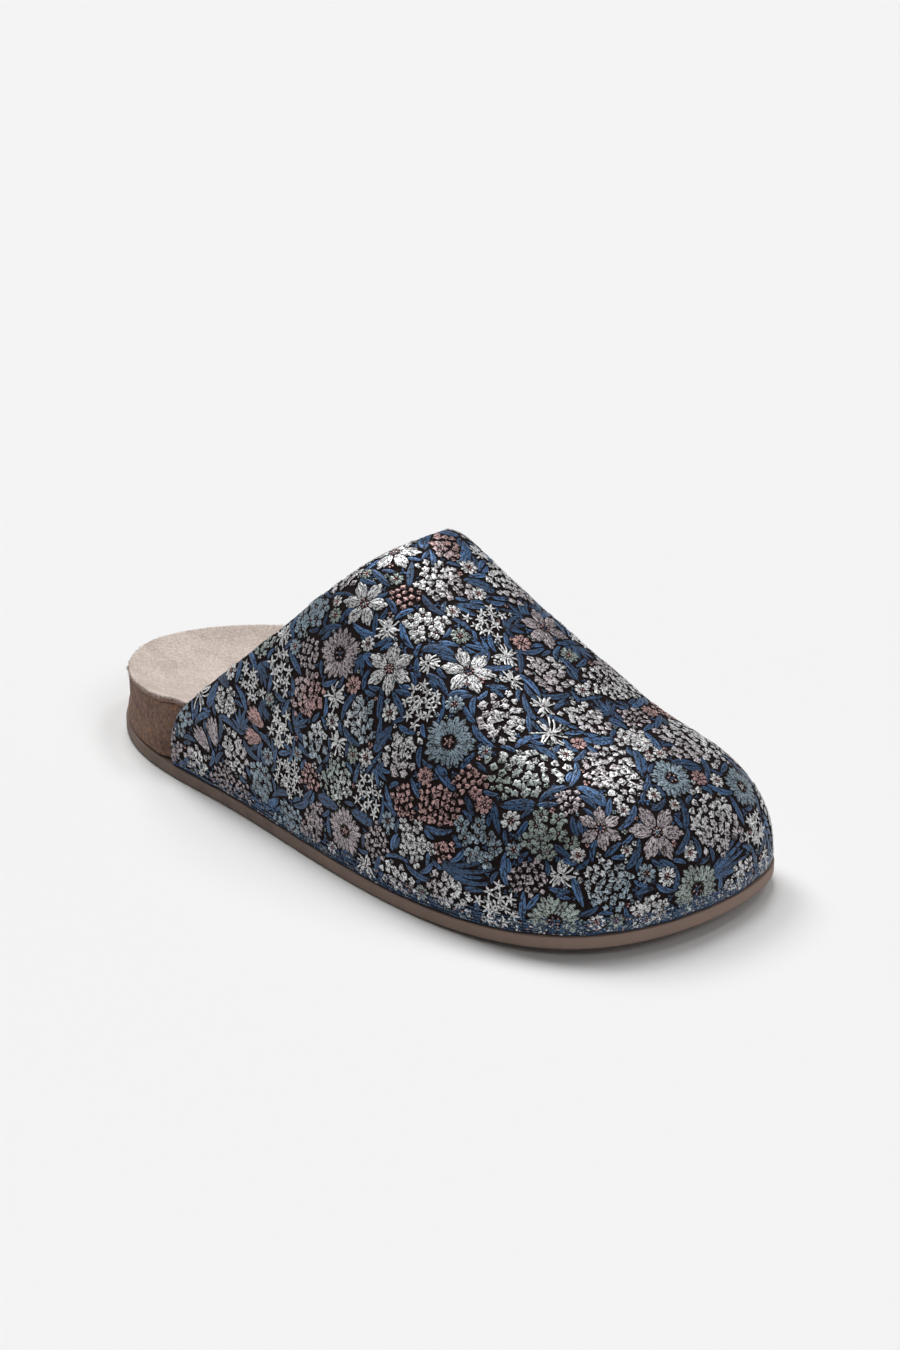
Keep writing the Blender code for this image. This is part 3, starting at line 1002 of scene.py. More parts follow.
def cloth_shape(settings):
    """Outer cloth of the upper, folded in at the throat."""
    turn_in, roll = 2.4, settings.edge_roll / MM
    shape = draped_sheet(settings, CLOTH_ROWS, CLOTH_COLUMNS, woven=True)
    fold = [(roll * sin(angle), roll * (1 - cos(angle))) for angle in np.linspace(0, pi, 7)[1:]]
    extend(shape, throat_edges(shape), fold + [(-turn_in, 2 * roll)])
    face_out(shape)
    return shape


def lining_shape(settings):
    """Lining of the upper, a little inside the cloth and standing just past its fold."""
    past, clearance, roll = 0.35, 0.1, settings.edge_roll / MM
    inside = 2 * roll + clearance
    shape = draped_sheet(settings, LINING_ROWS, LINING_COLUMNS, woven=False)
    for vert, place in [(vert, vert.co - vert.normal * inside * MM) for vert in shape.verts]:
        vert.co = place
    shape.normal_update()
    extend(shape, throat_edges(shape), [(roll * 0.5, 0.0), (roll + past, -0.05)])
    face_out(shape)
    return shape


def add_wall(piece, thickness):
    """Give a sheet its thickness, inwards."""
    wall = piece.modifiers.new("wall", "SOLIDIFY")
    wall.thickness = thickness
    wall.offset = -1
    wall.use_even_offset = True


Template = namedtuple("Template", "points heights shades faces")


def template(shape, profile):
    """Petal pattern from a bmesh of unit size: profile gives each point's place, height and shade."""
    height = shape.verts.layers.float.new("height")
    shade = shape.verts.layers.float.new("shade")
    for vert in shape.verts:
        place, vert[height], vert[shade] = profile(vert.co)
        vert.co = (*place, 0.0)
    bmesh.ops.remove_doubles(shape, verts=shape.verts, dist=0.001)
    shape.verts.index_update()
    points = np.array([vert.co.xy for vert in shape.verts])
    heights = np.array([vert[height] for vert in shape.verts])
    shades = np.array([vert[shade] for vert in shape.verts])
    faces = [[vert.index for vert in face.verts] for face in shape.faces]
    shape.free()
    return Template(points, heights, shades, faces)


def rimmed_circle(segments, rim):
    """Unit circle with a rim and a poked middle."""
    shape = bmesh.new()
    bmesh.ops.create_circle(shape, cap_ends=True, segments=segments, radius=1)
    bmesh.ops.inset_individual(shape, faces=shape.faces, thickness=rim)
    middle = max(shape.faces, key=lambda face: len(face.verts))
    bmesh.ops.poke(shape, faces=[middle])
    return shape


def round_petal(segments):
    """Blunt petal, widest towards its tip, with a dark rim and a level top."""

    def profile(place):
        u = 0.5 + 0.5 * place.x
        v = 0.5 * place.y * (0.74 + 0.4 * u)
        inside = float(place.xy.length < 0.9)
        return (u, v), inside, inside

    return template(rimmed_circle(segments, 0.32), profile)


def clover(lobes):
    """Small floret of lobes grown together, with a dark rim and a level top."""

    def profile(place):
        swell = 0.5 * (0.84 + 0.2 * cos(lobes * atan2(place.y, place.x)))
        inside = float(place.xy.length < 0.9)
        return (0.5 + swell * place.x, swell * place.y), inside, inside

    return template(rimmed_circle(3 * lobes, 0.2), profile)


def ribbed_blade(steps, widest, blunt, rib, rib_shade):
    """Long petal or leaf with a dark rim and a dark rib down its middle."""
    shape = bmesh.new()
    bmesh.ops.create_grid(shape, x_segments=steps, y_segments=6, size=1)
    spreads = {0: 0.0, 1: rib, 2: 0.74, 3: 1.0}

    def profile(place):
        u = 0.5 + 0.5 * place.x
        stretched = u / widest * 0.5 if u < widest else 0.5 + (u - widest) / (1 - widest) * 0.5
        width = max(sin(pi * stretched), 0.0) ** blunt
        column = round(abs(place.y) * 3)
        side = 1 if place.y > 0 else -1
        shade = {0: rib_shade, 3: 0.0}.get(column, 1.0)
        lifted = min(width * 2, 1.0) * (column < 3)
        return (u, 0.5 * side * spreads[column] * width), lifted, shade * min(width * 3, 1.0)

    return template(shape, profile)


def dart(steps, tip, belly):
    """Thin stroke with dark sides, as wide at its end as tip says and fuller between by belly."""
    shape = bmesh.new()
    bmesh.ops.create_grid(shape, x_segments=steps, y_segments=4, size=1)
    spreads = {0: 0.0, 1: 0.62, 2: 1.0}

    def profile(place):
        u = 0.5 + 0.5 * place.x
        width = 0.6 + (tip - 0.6) * u + belly * sin(pi * u)
        column = round(abs(place.y) * 2)
        side = 1 if place.y > 0 else -1
        lit = float(column < 2)
        return (u, 0.5 * side * spreads[column] * width), lit, lit

    return template(shape, profile)


TEMPLATES = {
    "blob": round_petal(7),
    "petal": round_petal(8),
    "trefoil": clover(3),
    "clover": clover(4),
    "rosette": clover(5),
    "point": ribbed_blade(6, 0.55, 0.7, 0.1, 0.3),
    "lobe": ribbed_blade(6, 0.62, 0.5, 0.1, 0.7),
    "leaf": ribbed_blade(6, 0.42, 0.8, 0.17, 0.0),
    "broad": ribbed_blade(7, 0.38, 0.6, 0.12, 0.0),
    "reed": ribbed_blade(7, 0.35, 0.5, 0.2, 0.9),
    "ray": dart(4, 1.0, 0.0),
    "sliver": dart(4, 0.1, 0.6),
}

Stroke = namedtuple("Stroke", "flat heights colours insides strands faces discs")


class Cloth:
    """Outer face of the upper, which the threads are laid on."""

    def __init__(self, piece):
        rear_reach, rear_height = 4.5, 16.0
        shape = bmesh.new()
        shape.from_mesh(piece.data)
        self.tree = BVHTree.FromBMesh(shape)
        key = shape.verts.layers.float["edge_distance"]
        flat = [face for face in shape.faces if max(vert[key] for vert in face.verts) > 0.01]
        self.centres = np.array([face.calc_center_median() for face in flat]) / MM
        self.normals = np.array([face.normal for face in flat])
        shape.free()
        shoe = self.centres + MIDDLE
        self.above = shoe[:, 2] - deck(shoe[:, 0]) - GAP
        self.rear = (shoe[:, 0] < QUARTER_BACK + rear_reach) & (self.above < rear_height)

    def press(self, points, heights):
        """Points in millimetres pressed onto the cloth and raised from it, in metres."""
        laid = []
        for point, height in zip(points, heights):
            place, normal, index, distance = self.tree.find_nearest(Vector(point) * MM)
            laid.append(place + normal * (height * MM))
        return np.array(laid)


def tangents(normal, turn):
    """Two directions in the cloth at a right angle, turned round its normal."""
    normal = np.asarray(normal)
    across = np.cross(normal, (1.0, 0.0, 0.0) if abs(normal[0]) < 0.9 else (0.0, 1.0, 0.0))
    across /= np.linalg.norm(across)
    ahead = np.cross(across, normal)
    return ahead * cos(turn) + across * sin(turn), across * cos(turn) - ahead * sin(turn)


class Needlework:
    """Petals laid on the cloth and joined into one mesh."""

    def __init__(self, cloth, rng):
        self.cloth = cloth
        self.rng = rng
        self.points, self.faces, self.colours, self.insides, self.strands = [], [], [], [], []
        self.count = 0
        self.drawn, self.taken = [], []

    def draw(self, kind, at, angle, length, width, colour, height, bend=0.0, base=0.0, pricked=1.0):
        """Note a petal in the flat of the motif at hand, in millimetres."""
        pattern = TEMPLATES[kind]
        u, v = pattern.points[:, 0], pattern.points[:, 1] * width
        turn = bend * u
        x = u * length * np.cos(turn / 2) - v * np.sin(turn)
        y = u * length * np.sin(turn / 2) + v * np.cos(turn)
        flat = np.stack([x * cos(angle) - y * sin(angle), x * sin(angle) + y * cos(angle)], axis=1) + at
        count = max(1, round(length / width))
        shares = (np.arange(count) + 0.5) / count
        headings = angle + bend * shares / 2
        ways = np.stack([np.cos(headings), np.sin(headings)], axis=1) * (shares * length)[:, None]
        radii = 0.5 * min(width, length) * (0.6 + 0.4 * np.sin(pi * shares))
        discs = np.column_stack([ways + at, radii])
        tone = np.minimum(np.asarray(colour) * self.rng.uniform(0.76, 1.16), 1.0)
        tones = np.tile(np.append(tone, pricked), (len(u), 1))
        strand = np.stack([u * length, v, np.full(len(u), self.rng.uniform(0, 200))], axis=1)
        heights = base + self.rng.uniform(0, 0.06) + height * pattern.heights
        self.drawn.append(Stroke(flat, heights, tones, pattern.shades, strand, pattern.faces, discs))

    def lay(self, centre, normal, turn):
        """Press the noted petals onto the cloth round a centre, leaving out those past the hem."""
        hem_gap = 0.02
        ahead, across = tangents(normal, turn)
        for stroke in self.drawn:
            points = centre + stroke.flat[:, :1] * ahead + stroke.flat[:, 1:] * across
            laid = self.cloth.press(points, stroke.heights)
            shoe = from_frame(laid)
            if (shoe[:, 2] - deck(shoe[:, 0]) - GAP).min() < hem_gap:
                continue
            self.points.append(laid)
            self.colours.append(stroke.colours)
            self.insides.append(stroke.insides)
            self.strands.append(stroke.strands)
            self.faces += [[index + self.count for index in face] for face in stroke.faces]
            self.count += len(laid)
            middles = centre + stroke.discs[:, :1] * ahead + stroke.discs[:, 1:2] * across
            pressed = self.cloth.press(middles, np.zeros(len(middles))) / MM
            self.taken.append(np.column_stack([pressed, stroke.discs[:, 2]]))
        self.drawn = []

    def mesh(self, name):
        """Joined mesh with its thread colours."""
        mesh = bpy.data.meshes.new(name)
        mesh.from_pydata(np.concatenate(self.points), [], self.faces)
        layer = mesh.color_attributes.new("thread", "FLOAT_COLOR", "POINT")
        layer.data.foreach_set("color", np.concatenate(self.colours).ravel().astype(np.float32))
        inside = mesh.attributes.new("inside", "FLOAT", "POINT")
        inside.data.foreach_set("value", np.concatenate(self.insides).astype(np.float32))
        strand = mesh.attributes.new("strand", "FLOAT_VECTOR", "POINT")
        strand.data.foreach_set("vector", np.concatenate(self.strands).ravel().astype(np.float32))
        return mesh


GOLDEN = pi * (3 - 5 ** 0.5)


def compass(angle):
    """Unit vector at an angle in the flat."""
    return np.array((cos(angle), sin(angle)))


class Meadow:
    """Flowers and leaves set out over the cloth, and how each is drawn."""

    def __init__(self, cloth, settings):
        self.cloth = cloth
        self.rng = np.random.default_rng(settings.seed)
        tints = ("white", "sage", "mist", "rose", "mauve", "blue")
        self.colours = {name: np.array(getattr(settings, name)) for name in tints}
        self.petal = settings.petal_height / MM
        self.leaf = settings.leaf_height / MM
        self.tuck = settings.tuck_under / MM
        self.over = self.leaf + 0.1
        self.marks = []
        widest_room = 30.0
        self.room = np.full(len(cloth.centres), widest_room)
        self.discs = np.zeros((0, 4))
        self.work = Needlework(cloth, self.rng)

    def cast_off(self, name):
        """Mesh of what was sewn since the last piece was cast off."""
        mesh = self.work.mesh(name)
        self.work = Needlework(self.cloth, self.rng)
        return mesh

    def lay(self, place, turn):
        """Press what is drawn onto the cloth at one of its places."""
        self.work.lay(self.cloth.centres[place], self.cloth.normals[place], turn)

    def take(self, discs):
        """Mark discs, each a centre and a radius, as taken."""
        for disc in discs:
            away = np.linalg.norm(self.cloth.centres - disc[:3], axis=1) - disc[3]
            self.room = np.minimum(self.room, away)
        self.discs = np.concatenate([self.discs, discs])

    def claim(self, place, reach):
        """Mark the ground round one of the cloth's places as taken."""
        self.take(np.append(self.cloth.centres[place], reach)[None])

    def plant(self):
        """Places for the flowers, the widest first, each close to those already there."""
        squeeze, fewest = 0.9, 12
        wanted = []
        for row in FLOWERS:
            for i in range(row.count):
                reach = self.rng.uniform(row.least, row.most)
                wanted.append((reach, row.kind, row.tints[i % len(row.tints)]))
        wanted.sort(key=lambda want: -want[0])
        spots = []
        for reach, kind, tint in wanted:
            roomy = (self.room > squeeze * reach) & (self.cloth.above > FLOWERS_ABOVE)
            open_places = np.flatnonzero(roomy)
            if not len(open_places):
                continue
            tight = open_places[np.argsort(self.room[open_places])[:max(fewest, len(open_places) // 4)]]
            place = self.rng.choice(tight)
            spots.append((kind, place, reach, tint, self.rng.uniform(0, tau)))
            self.claim(place, reach)
        return spots

    def settle(self):
        """Give the cloth back except for the petals as they were laid."""
        self.discs = np.concatenate(self.marks)
        self.discs[:, 3] -= self.tuck
        tree = KDTree(len(self.discs))
        for i, disc in enumerate(self.discs):
            tree.insert(disc[:3], i)
        tree.balance()
        for i, centre in enumerate(self.cloth.centres):
            near = tree.find_n(centre, 8)
            self.room[i] = min(distance - self.discs[index, 3] for place, index, distance in near)

    def fit_leaf(self, place, length, width):
        """Turn and bend at which a leaf or spray fits best at a place, or nothing."""
        overlap, bends, shares = 0.1 * width, np.array((-1.1, 0.0, 1.1)), np.linspace(0.06, 0.94, 7)
        centre = self.cloth.centres[place]
        near = self.discs[np.linalg.norm(self.discs[:, :3] - centre, axis=1) < length / 2 + 6]
        half_widths = 0.5 * width * np.sin(pi * shares) ** 0.8
        turns = self.rng.uniform(0, tau) + np.arange(10) * tau / 10
        ahead, across = tangents(self.cloth.normals[place], 0.0)
        x = (shares - 0.5) * length
        y = np.array([leaf_sag(length, bend, shares) for bend in bends])
        cosine, sine = np.cos(turns)[:, None, None], np.sin(turns)[:, None, None]
        along, aside = x * cosine - y * sine, x * sine + y * cosine
        points = centre + along[..., None] * ahead + aside[..., None] * across
        away = np.linalg.norm(points[..., None, :] - near[:, :3], axis=-1) - near[:, 3]
        slack = (away.min(axis=-1) - half_widths).min(axis=-1)
        turn, bend = np.unravel_index(np.argmax(slack), slack.shape)
        if slack[turn, bend] < -overlap:
            return None
        discs = np.concatenate([points[turn, bend], 0.9 * half_widths[:, None]], axis=1)
        return turns[turn], bends[bend], discs

    def grow(self, rows):
        """Places for the leaves between what is already laid."""
        grown = []
        for row in rows:
            least = 0.3 * row.width
            places = np.flatnonzero((self.room > least) & (self.cloth.above > LEAVES_ABOVE))
            for place in self.rng.permutation(places)[:row.tries]:
                if self.room[place] < least:
                    continue
                fit = self.fit_leaf(place, row.length, row.width)
                if fit:
                    turn, bend, discs = fit
                    self.take(discs)
                    grown.append((row.form, place, turn, bend, row.length, row.width))
        return grown

    def shaded(self, tint, at, reach, lean):
        """Colour of a floret in a head that shades from one colour into another."""
        share = 0.5 + 0.75 * float(np.dot(at, lean)) / reach + self.rng.normal(0, 0.14)
        share = 0.85 * min(max(share, 0.0), 1.0) ** 1.5
        return self.colours[tint] * (1 - share) + self.colours[MATES[tint]] * share

    def head(self, reach, size):
        """Places of florets in a ragged, somewhat oval head."""
        aspect = self.rng.uniform(0.68, 1.0)
        count = int(1.04 * aspect * (reach / size) ** 2)
        phases = self.rng.uniform(0, tau, 3)
        places = []
        for k in range(count):
            angle = k * GOLDEN
            ragged = 1 + 0.12 * sin(2 * angle + phases[0]) + 0.1 * sin(3 * angle + phases[1])
            ragged += 0.07 * sin(5 * angle + phases[2])
            out = (reach - 0.6 * size) * ((k + 0.5) / count) ** 0.5
            if out < 0.8 * reach or self.rng.random() < 0.85:
                at = np.array((cos(angle), aspect * sin(angle))) * out * ragged
                places.append(at + self.rng.normal(0, 0.16 * size, 2))
        return places

    def petal_at(self, kind, at, angle, long, wide, colour, bend=0.0, pricked=1.0, lift=0.0):
        """Draw a petal above the leaves."""
        self.work.draw(kind, at, angle, long, wide, colour, self.petal, bend, self.over + lift, pricked)

    def floret(self, at, size, petals, colour):
        """Small flower of blunt petals round a dark eye."""
        spin = self.rng.uniform(0, tau)
        for k in range(petals):
            angle = spin + k * tau / petals + self.rng.normal(0, 0.14)
            width = size * 1.5 * sin(pi / petals)
            long = size * self.rng.uniform(0.82, 1.02)
            self.petal_at("blob", at + 0.14 * size * compass(angle), angle, long, width, colour)

    def cell(self, at, size, colour):
        """Lobed floret with an outline of its own."""
        kind = self.rng.choice(("trefoil", "clover", "rosette"))
        angle = self.rng.uniform(0, tau)
        long = size * self.rng.uniform(1.85, 2.35)
        wide = long * self.rng.uniform(0.76, 1.06)
        foot = at - 0.5 * long * compass(angle)
        self.petal_at(kind, foot, angle, long, wide, colour, self.rng.uniform(-0.8, 0.8))

    def stamens(self, out, count):
        """Ring of dots round a flower's middle."""
        for k in range(count):
            angle = k * tau / count
            self.petal_at("blob", out * compass(angle), angle, 1.0, 0.8, self.colours["rose"], lift=0.1)

    def umbel(self, reach, tint):
        """Ragged head of lobed florets close together."""
        size = self.rng.uniform(1.25, 1.75)
        lean = compass(self.rng.uniform(0, tau))
        for at in self.head(reach, size):
            self.cell(at, size, self.shaded(tint, at, reach, lean))

    def posy(self, reach, tint):
        """Head of larger five petalled florets with coloured eyes."""
        size = self.rng.uniform(2.2, 3.3)
        eye = self.colours["rose"] * 0.7
        for at in self.head(reach, size):
            self.floret(at, size, 5, self.colours[tint] * self.rng.uniform(0.8, 1.1))
            self.petal_at("blob", at - (0.4, 0.0), 0.0, 0.8, 0.8, eye, lift=0.1)

    def jasmine(self, reach, tint):
        """Loose spray of pointed stars."""
        size = self.rng.uniform(1.9, 2.4)
        for at in self.head(reach, size):
            spin = self.rng.uniform(0, tau)
            for k in range(5):
                angle = spin + k * tau / 5 + self.rng.normal(0, 0.1)
                foot = at + 0.2 * compass(angle)
                long = size * self.rng.uniform(0.8, 1.05)
                self.petal_at("sliver", foot, angle, long, 0.48 * size, self.colours[tint], pricked=0.5)

    def starflower(self, reach, tint):
        """Six pointed petals, each of three ribs, with a ring of rose stamens."""
        for k in range(6):
            angle = k * tau / 6 + self.rng.normal(0, 0.06)
            for rib in (-0.2, 0.2, 0.0):
                foot = compass(angle + rib) * 1.2
                long = (reach - 1.2) * (1 - abs(rib))
                tone = self.colours[tint] * (1 - 0.5 * abs(rib))
                self.petal_at("point", foot, angle + rib, long, reach * 0.28, tone)
        self.stamens(0.7, 7)

    def windflower(self, reach, tint):
        """Five broad petals, each of four ribs side by side."""
        for k in range(5):
            for rib in (-0.45, -0.15, 0.15, 0.45):
                angle = k * tau / 5 + rib
                long = reach * (0.84 - 0.7 * rib * rib)
                tone = self.colours[tint] * (1 - 0.25 * abs(rib))
                self.petal_at("petal", compass(angle) * reach * 0.2, angle, long, reach * 0.29, tone)
        self.stamens(reach * 0.1, 5)

    def bells(self, reach, tint):
        """Two tulip shaped bells, each of four narrow lobes, on a short stem."""
        for k in (-1, 1):
            foot = np.array((-reach * 0.8, k * reach * 0.3))
            for lobe in (-0.36, -0.12, 0.12, 0.36):
                tone = self.colours[tint] * self.rng.uniform(0.85, 1.1)
                long = reach * self.rng.uniform(1.4, 1.6) * (1 - 0.7 * lobe * lobe)
                self.petal_at("lobe", foot, 0.24 * k + lobe, long, reach * 0.26, tone, -0.5 * lobe)
        foot, stem = np.array((-reach, 0.0)), self.colours["blue"]
        self.work.draw("ray", foot, 0.1, reach * 0.5, 0.9, stem, self.leaf, base=self.over)

    def berries(self, reach, tint):
        """Bunch of lobed berries that narrows to its tip."""
        size = 1.15
        for row in range(int(reach * 2 / (size * 1.75))):
            x = -reach + size + row * size * 1.75
            half = reach * max(1 - ((x + 0.25 * reach) / (1.3 * reach)) ** 2, 0.0) ** 0.5 * 0.7
            for y in np.arange(-half, half + 0.01, size * 1.85):
                at = np.array((x, y + (row % 2) * size * 0.8)) + self.rng.normal(0, 0.22, 2)
                self.cell(at, size, self.colours[tint] * self.rng.uniform(0.9, 1.15))

    def threads(self, reach, tint):
        """Spray of thin curved rays with a few fuller petals."""
        colour = self.colours[tint]
        count = int(self.rng.integers(10, 15))
        for k in range(count):
            angle = k * tau / count + self.rng.normal(0, 0.1)
            way = compass(angle)
            long = reach * self.rng.uniform(0.7, 1.05)
            bend = self.rng.uniform(-1.4, 1.4)
            self.petal_at("ray", way * 0.5, angle, long - 0.5, 0.8, colour, bend, 0.4)
            if k % 3 == 0:
                self.petal_at("point", way * 0.6, angle + 0.22, long * 0.7, 1.7, colour)

    def daisy(self, reach, tint):
        """Nine blunt petals round a dotted eye."""
        for k in range(9):
            angle = k * tau / 9 + self.rng.normal(0, 0.06)
            foot = compass(angle) * reach * 0.22
            self.petal_at("petal", foot, angle, reach * 0.8, reach * 0.54, self.colours[tint])
        self.stamens(reach * 0.06, 4)

    def sew_flowers(self, spots, kinds):
        """Draw and lay the flowers of some kinds."""
        spread = 1.02
        for kind, place, reach, tint, turn in spots:
            if kind in kinds:
                getattr(self, kind)(reach * spread, tint)
                self.lay(place, turn)
        self.marks += self.work.taken

    def blade(self, form, foot, angle, length, width, bend, tone):
        """One leaf, of a blue a little of its own."""
        colour = self.colours["blue"] * tone * self.rng.uniform(0.78, 1.22)
        base = 0.02 + self.rng.uniform(0, 0.05)
        self.work.draw(form, foot, angle, length, width, colour, self.leaf, bend, base, 0.7)

    def fern(self, length, width, bend, tone):
        """Bent stem with pairs of leaflets."""
        pairs = max(3, round(length / 4.2))
        for k in range(pairs):
            share = (k + 0.3) / pairs
            foot = np.array(((share - 0.5) * length, leaf_sag(length, bend, share)))
            heading = bend * (share - 0.5)
            long = 0.62 * width * (1.1 - 0.5 * share)
            for side in (-1, 1):
                turn = heading + side * self.rng.uniform(0.65, 0.95)
                self.blade("leaf", foot, turn, long, 0.4 * long, -0.4 * side, tone)
        foot = np.array((-0.5 * length, leaf_sag(length, bend, 0.0)))
        self.blade("reed", foot, -bend / 2, length, 1.5, bend, tone * 1.1)

    def fan(self, length, width, bend, tone):
        """Leaves spreading from one foot."""
        count = int(self.rng.integers(5, 7))
        foot = np.array((-0.45 * length, 0.0))
        for k in range(count):
            turn = (k / (count - 1) - 0.5) * 2.0 + self.rng.normal(0, 0.1)
            long = length * (0.95 - 0.16 * abs(turn)) * self.rng.uniform(0.85, 1.05)
            self.blade("leaf", foot, turn, long, 0.23 * long, 0.3 * turn, tone)

    def grass(self, length, width, bend, tone):
        """Narrow blades that part from one foot."""
        for k in range(5):
            turn = (k - 2) * 0.13 - bend / 2
            long = length * self.rng.uniform(0.7, 1.0)
            foot = np.array((-0.5 * length, leaf_sag(length, bend, 0.0) + (k - 2) * 0.35))
            self.blade("reed", foot, turn, long, 1.7, bend * self.rng.uniform(0.7, 1.3), tone)

    def sew_leaves(self, rows):
        """Grow leaves or sprays where there is room, and draw and lay them."""
        for form, place, turn, bend, length, width in self.grow(rows):
            tone = self.rng.uniform(0.7, 1.25)
            if form in TEMPLATES:
                foot = np.array((-0.5 * length, leaf_sag(length, bend, 0.0)))
                self.blade(form, foot, -bend / 2, length, width, bend, tone)
            else:
                getattr(self, form)(length, width, bend, tone)
            self.lay(place, turn)
        self.marks += self.work.taken
        self.settle()

    def sew_fillers(self, least):
        """Fill what is left with single florets and with leaflets in threes."""
        most = 1.7
        while True:
            place = int(np.argmax(np.where(self.cloth.above > FILLERS_ABOVE, self.room, 0)))
            reach = min(self.room[place], most)
            if reach < least:
                break
            if self.rng.random() < 0.5:
                tint = self.rng.choice(("white", "mist", "sage", "rose"))
                self.floret(np.zeros(2), reach, int(self.rng.integers(3, 6)), self.colours[tint])
            else:
                tone = self.colours["blue"] * self.rng.uniform(0.75, 1.3)
                long, wide = reach * 1.3, reach * 0.8
                for angle in (0.0, 2.2, 4.2):
                    self.work.draw("leaf", np.zeros(2), angle, long, wide, tone, self.leaf, base=0.03)
            self.lay(place, self.rng.uniform(0, tau))
            self.claim(place, reach)

    def sew_hem(self, count):
        """Short floats crowded into the band along the hem, where the pattern is gathered."""
        tints, shares = ("blue", "white", "mist", "rose"), (0.66, 0.14, 0.15, 0.05)
        band = np.flatnonzero((self.cloth.above < HEM_BAND) | self.cloth.rear)
        weights = 1 - 0.6 * np.minimum(self.cloth.above[band] / HEM_BAND, 1)
        for place in self.rng.choice(band, count, p=weights / weights.sum()):
            colour = self.colours[self.rng.choice(tints, p=shares)] * self.rng.uniform(0.6, 1.1)
            long, wide = self.rng.uniform(0.9, 2.1), self.rng.uniform(0.65, 1.0)
            self.petal_at("blob", np.array((-long / 2, 0.0)), 0.0, long, wide, colour)
            ahead, across = tangents(self.cloth.normals[place], 0.0)
            upright = atan2(across[2], ahead[2])
            self.lay(place, upright + pi / 2 + self.rng.normal(0, 0.4))


def leaf_sag(length, bend, share):
    """How far a bent leaf's middle line lies to one side of its centre."""
    deepest = length / 2 * sin(bend / 4)
    return deepest / 2 - deepest * 4 * share * (1 - share)


class MULE_OT_outsole(bpy.types.Operator):
    """Mould the rubber outsole, with its tread"""

    bl_idname = "mule.outsole"
    bl_label = "Outsole"

    def execute(self, context):
        settings = context.scene.mule_sole
        shape = layer_shape(outsole_half(settings), OUTSOLE_SECTIONS)
        piece = add_piece("outsole_rubber", shape, rubber_finish(settings))
        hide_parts("outsole")
        return {"FINISHED"}


class MULE_OT_core(bpy.types.Operator):
    """Shape the cork core under the footbed"""

    bl_idname = "mule.core"
    bl_label = "Core"

    def execute(self, context):
        settings = context.scene.mule_sole
        shape = layer_shape(core_half, CORE_SECTIONS)
        piece = add_piece("core_cork", shape, cork_finish(settings))
        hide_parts("midsole")
        return {"FINISHED"}


class MULE_OT_footbed(bpy.types.Operator):
    """Lay the suede footbed and fray its cut edge"""

    bl_idname = "mule.footbed"
    bl_label = "Footbed"

    def execute(self, context):
        settings = context.scene.mule_footbed
        suede = suede_finish(settings, context.scene.mule_sole.cork)
        drops = {"drop": suede_drops(settings)}
        shape = layer_shape(suede_half(settings), FOOTBED_SECTIONS, drops)
        piece = add_piece("footbed_suede", shape, suede)
        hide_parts("insole")
        fuzz = fuzz_mesh(settings, np.random.default_rng(FUZZ_SEED))
        add_mesh("footbed_fuzz", fuzz, suede)
        return {"FINISHED"}


class MULE_OT_upper(bpy.types.Operator):
    """Draw the cloth and the lining of the upper over the last"""

    bl_idname = "mule.upper"
    bl_label = "Upper"

    def execute(self, context):
        settings = context.scene.mule_upper
        ground = ground_finish(settings, context.scene.mule_brocade.blue)
        piece = add_piece("upper_cloth", cloth_shape(settings), ground)
        add_wall(piece, settings.cloth)
        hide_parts("upper")
        lining = add_piece("upper_lining", lining_shape(settings), lining_finish(settings))
        add_wall(lining, settings.lining)
        return {"FINISHED"}


class MULE_OT_brocade(bpy.types.Operator):
    """Weave the meadow of flowers and leaves into the cloth"""

    bl_idname = "mule.brocade"
    bl_label = "Brocade"

    def execute(self, context):
        settings = context.scene.mule_brocade
        meadow = Meadow(Cloth(bpy.data.objects["upper_cloth"]), settings)
        material = thread_finish(context.scene.mule_upper.ground)

        def keep(name):
            add_mesh(name, meadow.cast_off(name), material)

        spots = meadow.plant()
        for name, kinds in FLOWER_PIECES.items():
            meadow.sew_flowers(spots, kinds)
            keep(name)
        meadow.settle()
        meadow.sew_leaves(SPRAYS)
        keep("brocade_sprays")
        meadow.sew_leaves(LEAVES)
        meadow.sew_fillers(settings.ground_left / MM)
        keep("brocade_leaves")
        meadow.sew_hem(settings.hem_strokes)
        keep("brocade_hem")
        return {"FINISHED"}


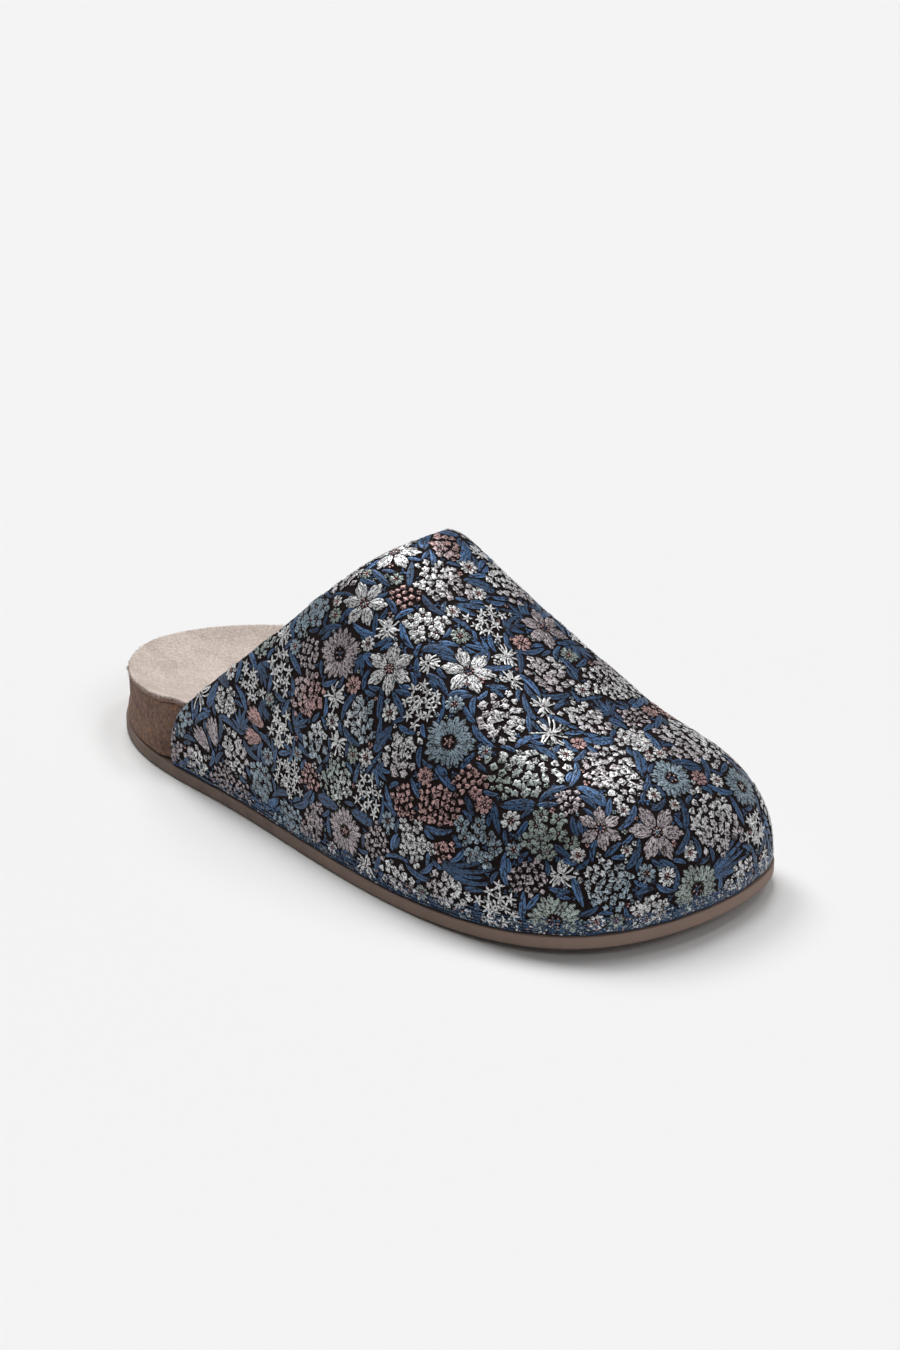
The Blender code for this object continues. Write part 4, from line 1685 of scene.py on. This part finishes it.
class MULE_OT_stage(bpy.types.Operator):
    """Set the floor, the light and the camera"""

    bl_idname = "mule.stage"
    bl_label = "Stage"

    def execute(self, context):
        scene = context.scene
        settings = scene.mule_stage
        scene.view_settings.view_transform = "Standard"
        self.add_floor(scene, settings)
        self.add_light(scene, settings)
        self.add_camera(scene, settings)
        return {"FINISHED"}

    @staticmethod
    def add_floor(scene, settings):
        """Wide sheet of paper under the shoe."""
        half_width = 6
        shape = bmesh.new()
        bmesh.ops.create_grid(shape, x_segments=1, y_segments=1, size=half_width)
        mesh = bpy.data.meshes.new("stage_floor")
        shape.to_mesh(mesh)
        shape.free()
        finish = Finish("stage_paper")
        paper = finish.set(Base_Color=tuple(settings.floor), Roughness=0.95, Specular_IOR_Level=0.0)
        mesh.materials.append(paper)
        floor = bpy.data.objects.new("stage_floor", mesh)
        scene.collection.objects.link(floor)

    @staticmethod
    def add_light(scene, settings):
        """Sky with a glow near the horizon, and the soft suns."""
        glow_end, sky_start, white = 0.08, 0.36, (1, 1, 1, 1)
        world = bpy.data.worlds.new("stage_sky")
        world.use_nodes = True
        tree = world.node_tree
        wire = Wire(tree)
        height = wire.node("ShaderNodeTexCoord", output="Generated").axis(2)
        glow = wire.node("ShaderNodeBackground", {}, {"Color": white, "Strength": settings.glow})
        sky = wire.node("ShaderNodeBackground", {}, {"Color": white, "Strength": settings.sky})
        both = wire.node("ShaderNodeMixShader", {}, {0: height.between(glow_end, sky_start), 1: glow, 2: sky})
        tree.links.new(both.socket, tree.nodes["World Output"].inputs["Surface"])
        scene.world = world
        for row in LIGHTS:
            lamp = bpy.data.lights.new("stage_" + row.name, "SUN")
            lamp.energy = settings.light * row.strength
            lamp.angle = radians(row.spread)
            light = bpy.data.objects.new("stage_" + row.name, lamp)
            light.rotation_euler = (radians(row.tilt), 0, radians(row.turn))
            scene.collection.objects.link(light)

    @staticmethod
    def add_camera(scene, settings):
        """Camera at its distance and angles from the point it looks at."""
        lens = bpy.data.cameras.new("stage_camera")
        lens.lens = settings.lens
        lens.sensor_width = 36
        lens.clip_start = 0.01
        camera = bpy.data.objects.new("stage_camera", lens)
        turn, level = settings.azimuth, cos(settings.elevation)
        away = Vector((sin(turn) * level, -cos(turn) * level, sin(settings.elevation)))
        camera.location = Vector(settings.target) + away * settings.distance
        camera.rotation_euler = (-away).to_track_quat("-Z", "Y").to_euler()
        scene.collection.objects.link(camera)
        scene.camera = camera


class MULE_PT_panel(bpy.types.Panel):
    """Buttons that make the pieces, with their sizes and colours"""

    bl_idname = "MULE_PT_panel"
    bl_label = "Woven Mule"
    bl_space_type = "VIEW_3D"
    bl_region_type = "UI"
    bl_category = "Mule"

    def draw(self, context):
        for operator in OPERATORS:
            self.layout.operator(operator.bl_idname)
        for name, group in SETTINGS.items():
            box = self.layout.box()
            box.label(text=group.__doc__)
            for prop in group.__annotations__:
                box.prop(getattr(context.scene, name), prop)


SETTINGS = {
    "mule_sole": MuleSoleSettings,
    "mule_footbed": MuleFootbedSettings,
    "mule_upper": MuleUpperSettings,
    "mule_brocade": MuleBrocadeSettings,
    "mule_stage": MuleStageSettings,
}
OPERATORS = (
    MULE_OT_outsole,
    MULE_OT_core,
    MULE_OT_footbed,
    MULE_OT_upper,
    MULE_OT_brocade,
    MULE_OT_stage,
)
CLASSES = (*SETTINGS.values(), *OPERATORS, MULE_PT_panel)


def register():
    """Add the classes and hang the settings on the scene."""
    for item in CLASSES:
        bpy.utils.register_class(item)
    for name, group in SETTINGS.items():
        setattr(bpy.types.Scene, name, PointerProperty(type=group))


def unregister():
    """Take the settings and the classes away again."""
    for name in SETTINGS:
        delattr(bpy.types.Scene, name)
    for item in reversed(CLASSES):
        bpy.utils.unregister_class(item)


def main():
    """Make every piece and the stage."""
    register()
    bpy.ops.mule.outsole()
    bpy.ops.mule.core()
    bpy.ops.mule.footbed()
    bpy.ops.mule.upper()
    bpy.ops.mule.brocade()
    bpy.ops.mule.stage()


if __name__ == "__main__":
    main()
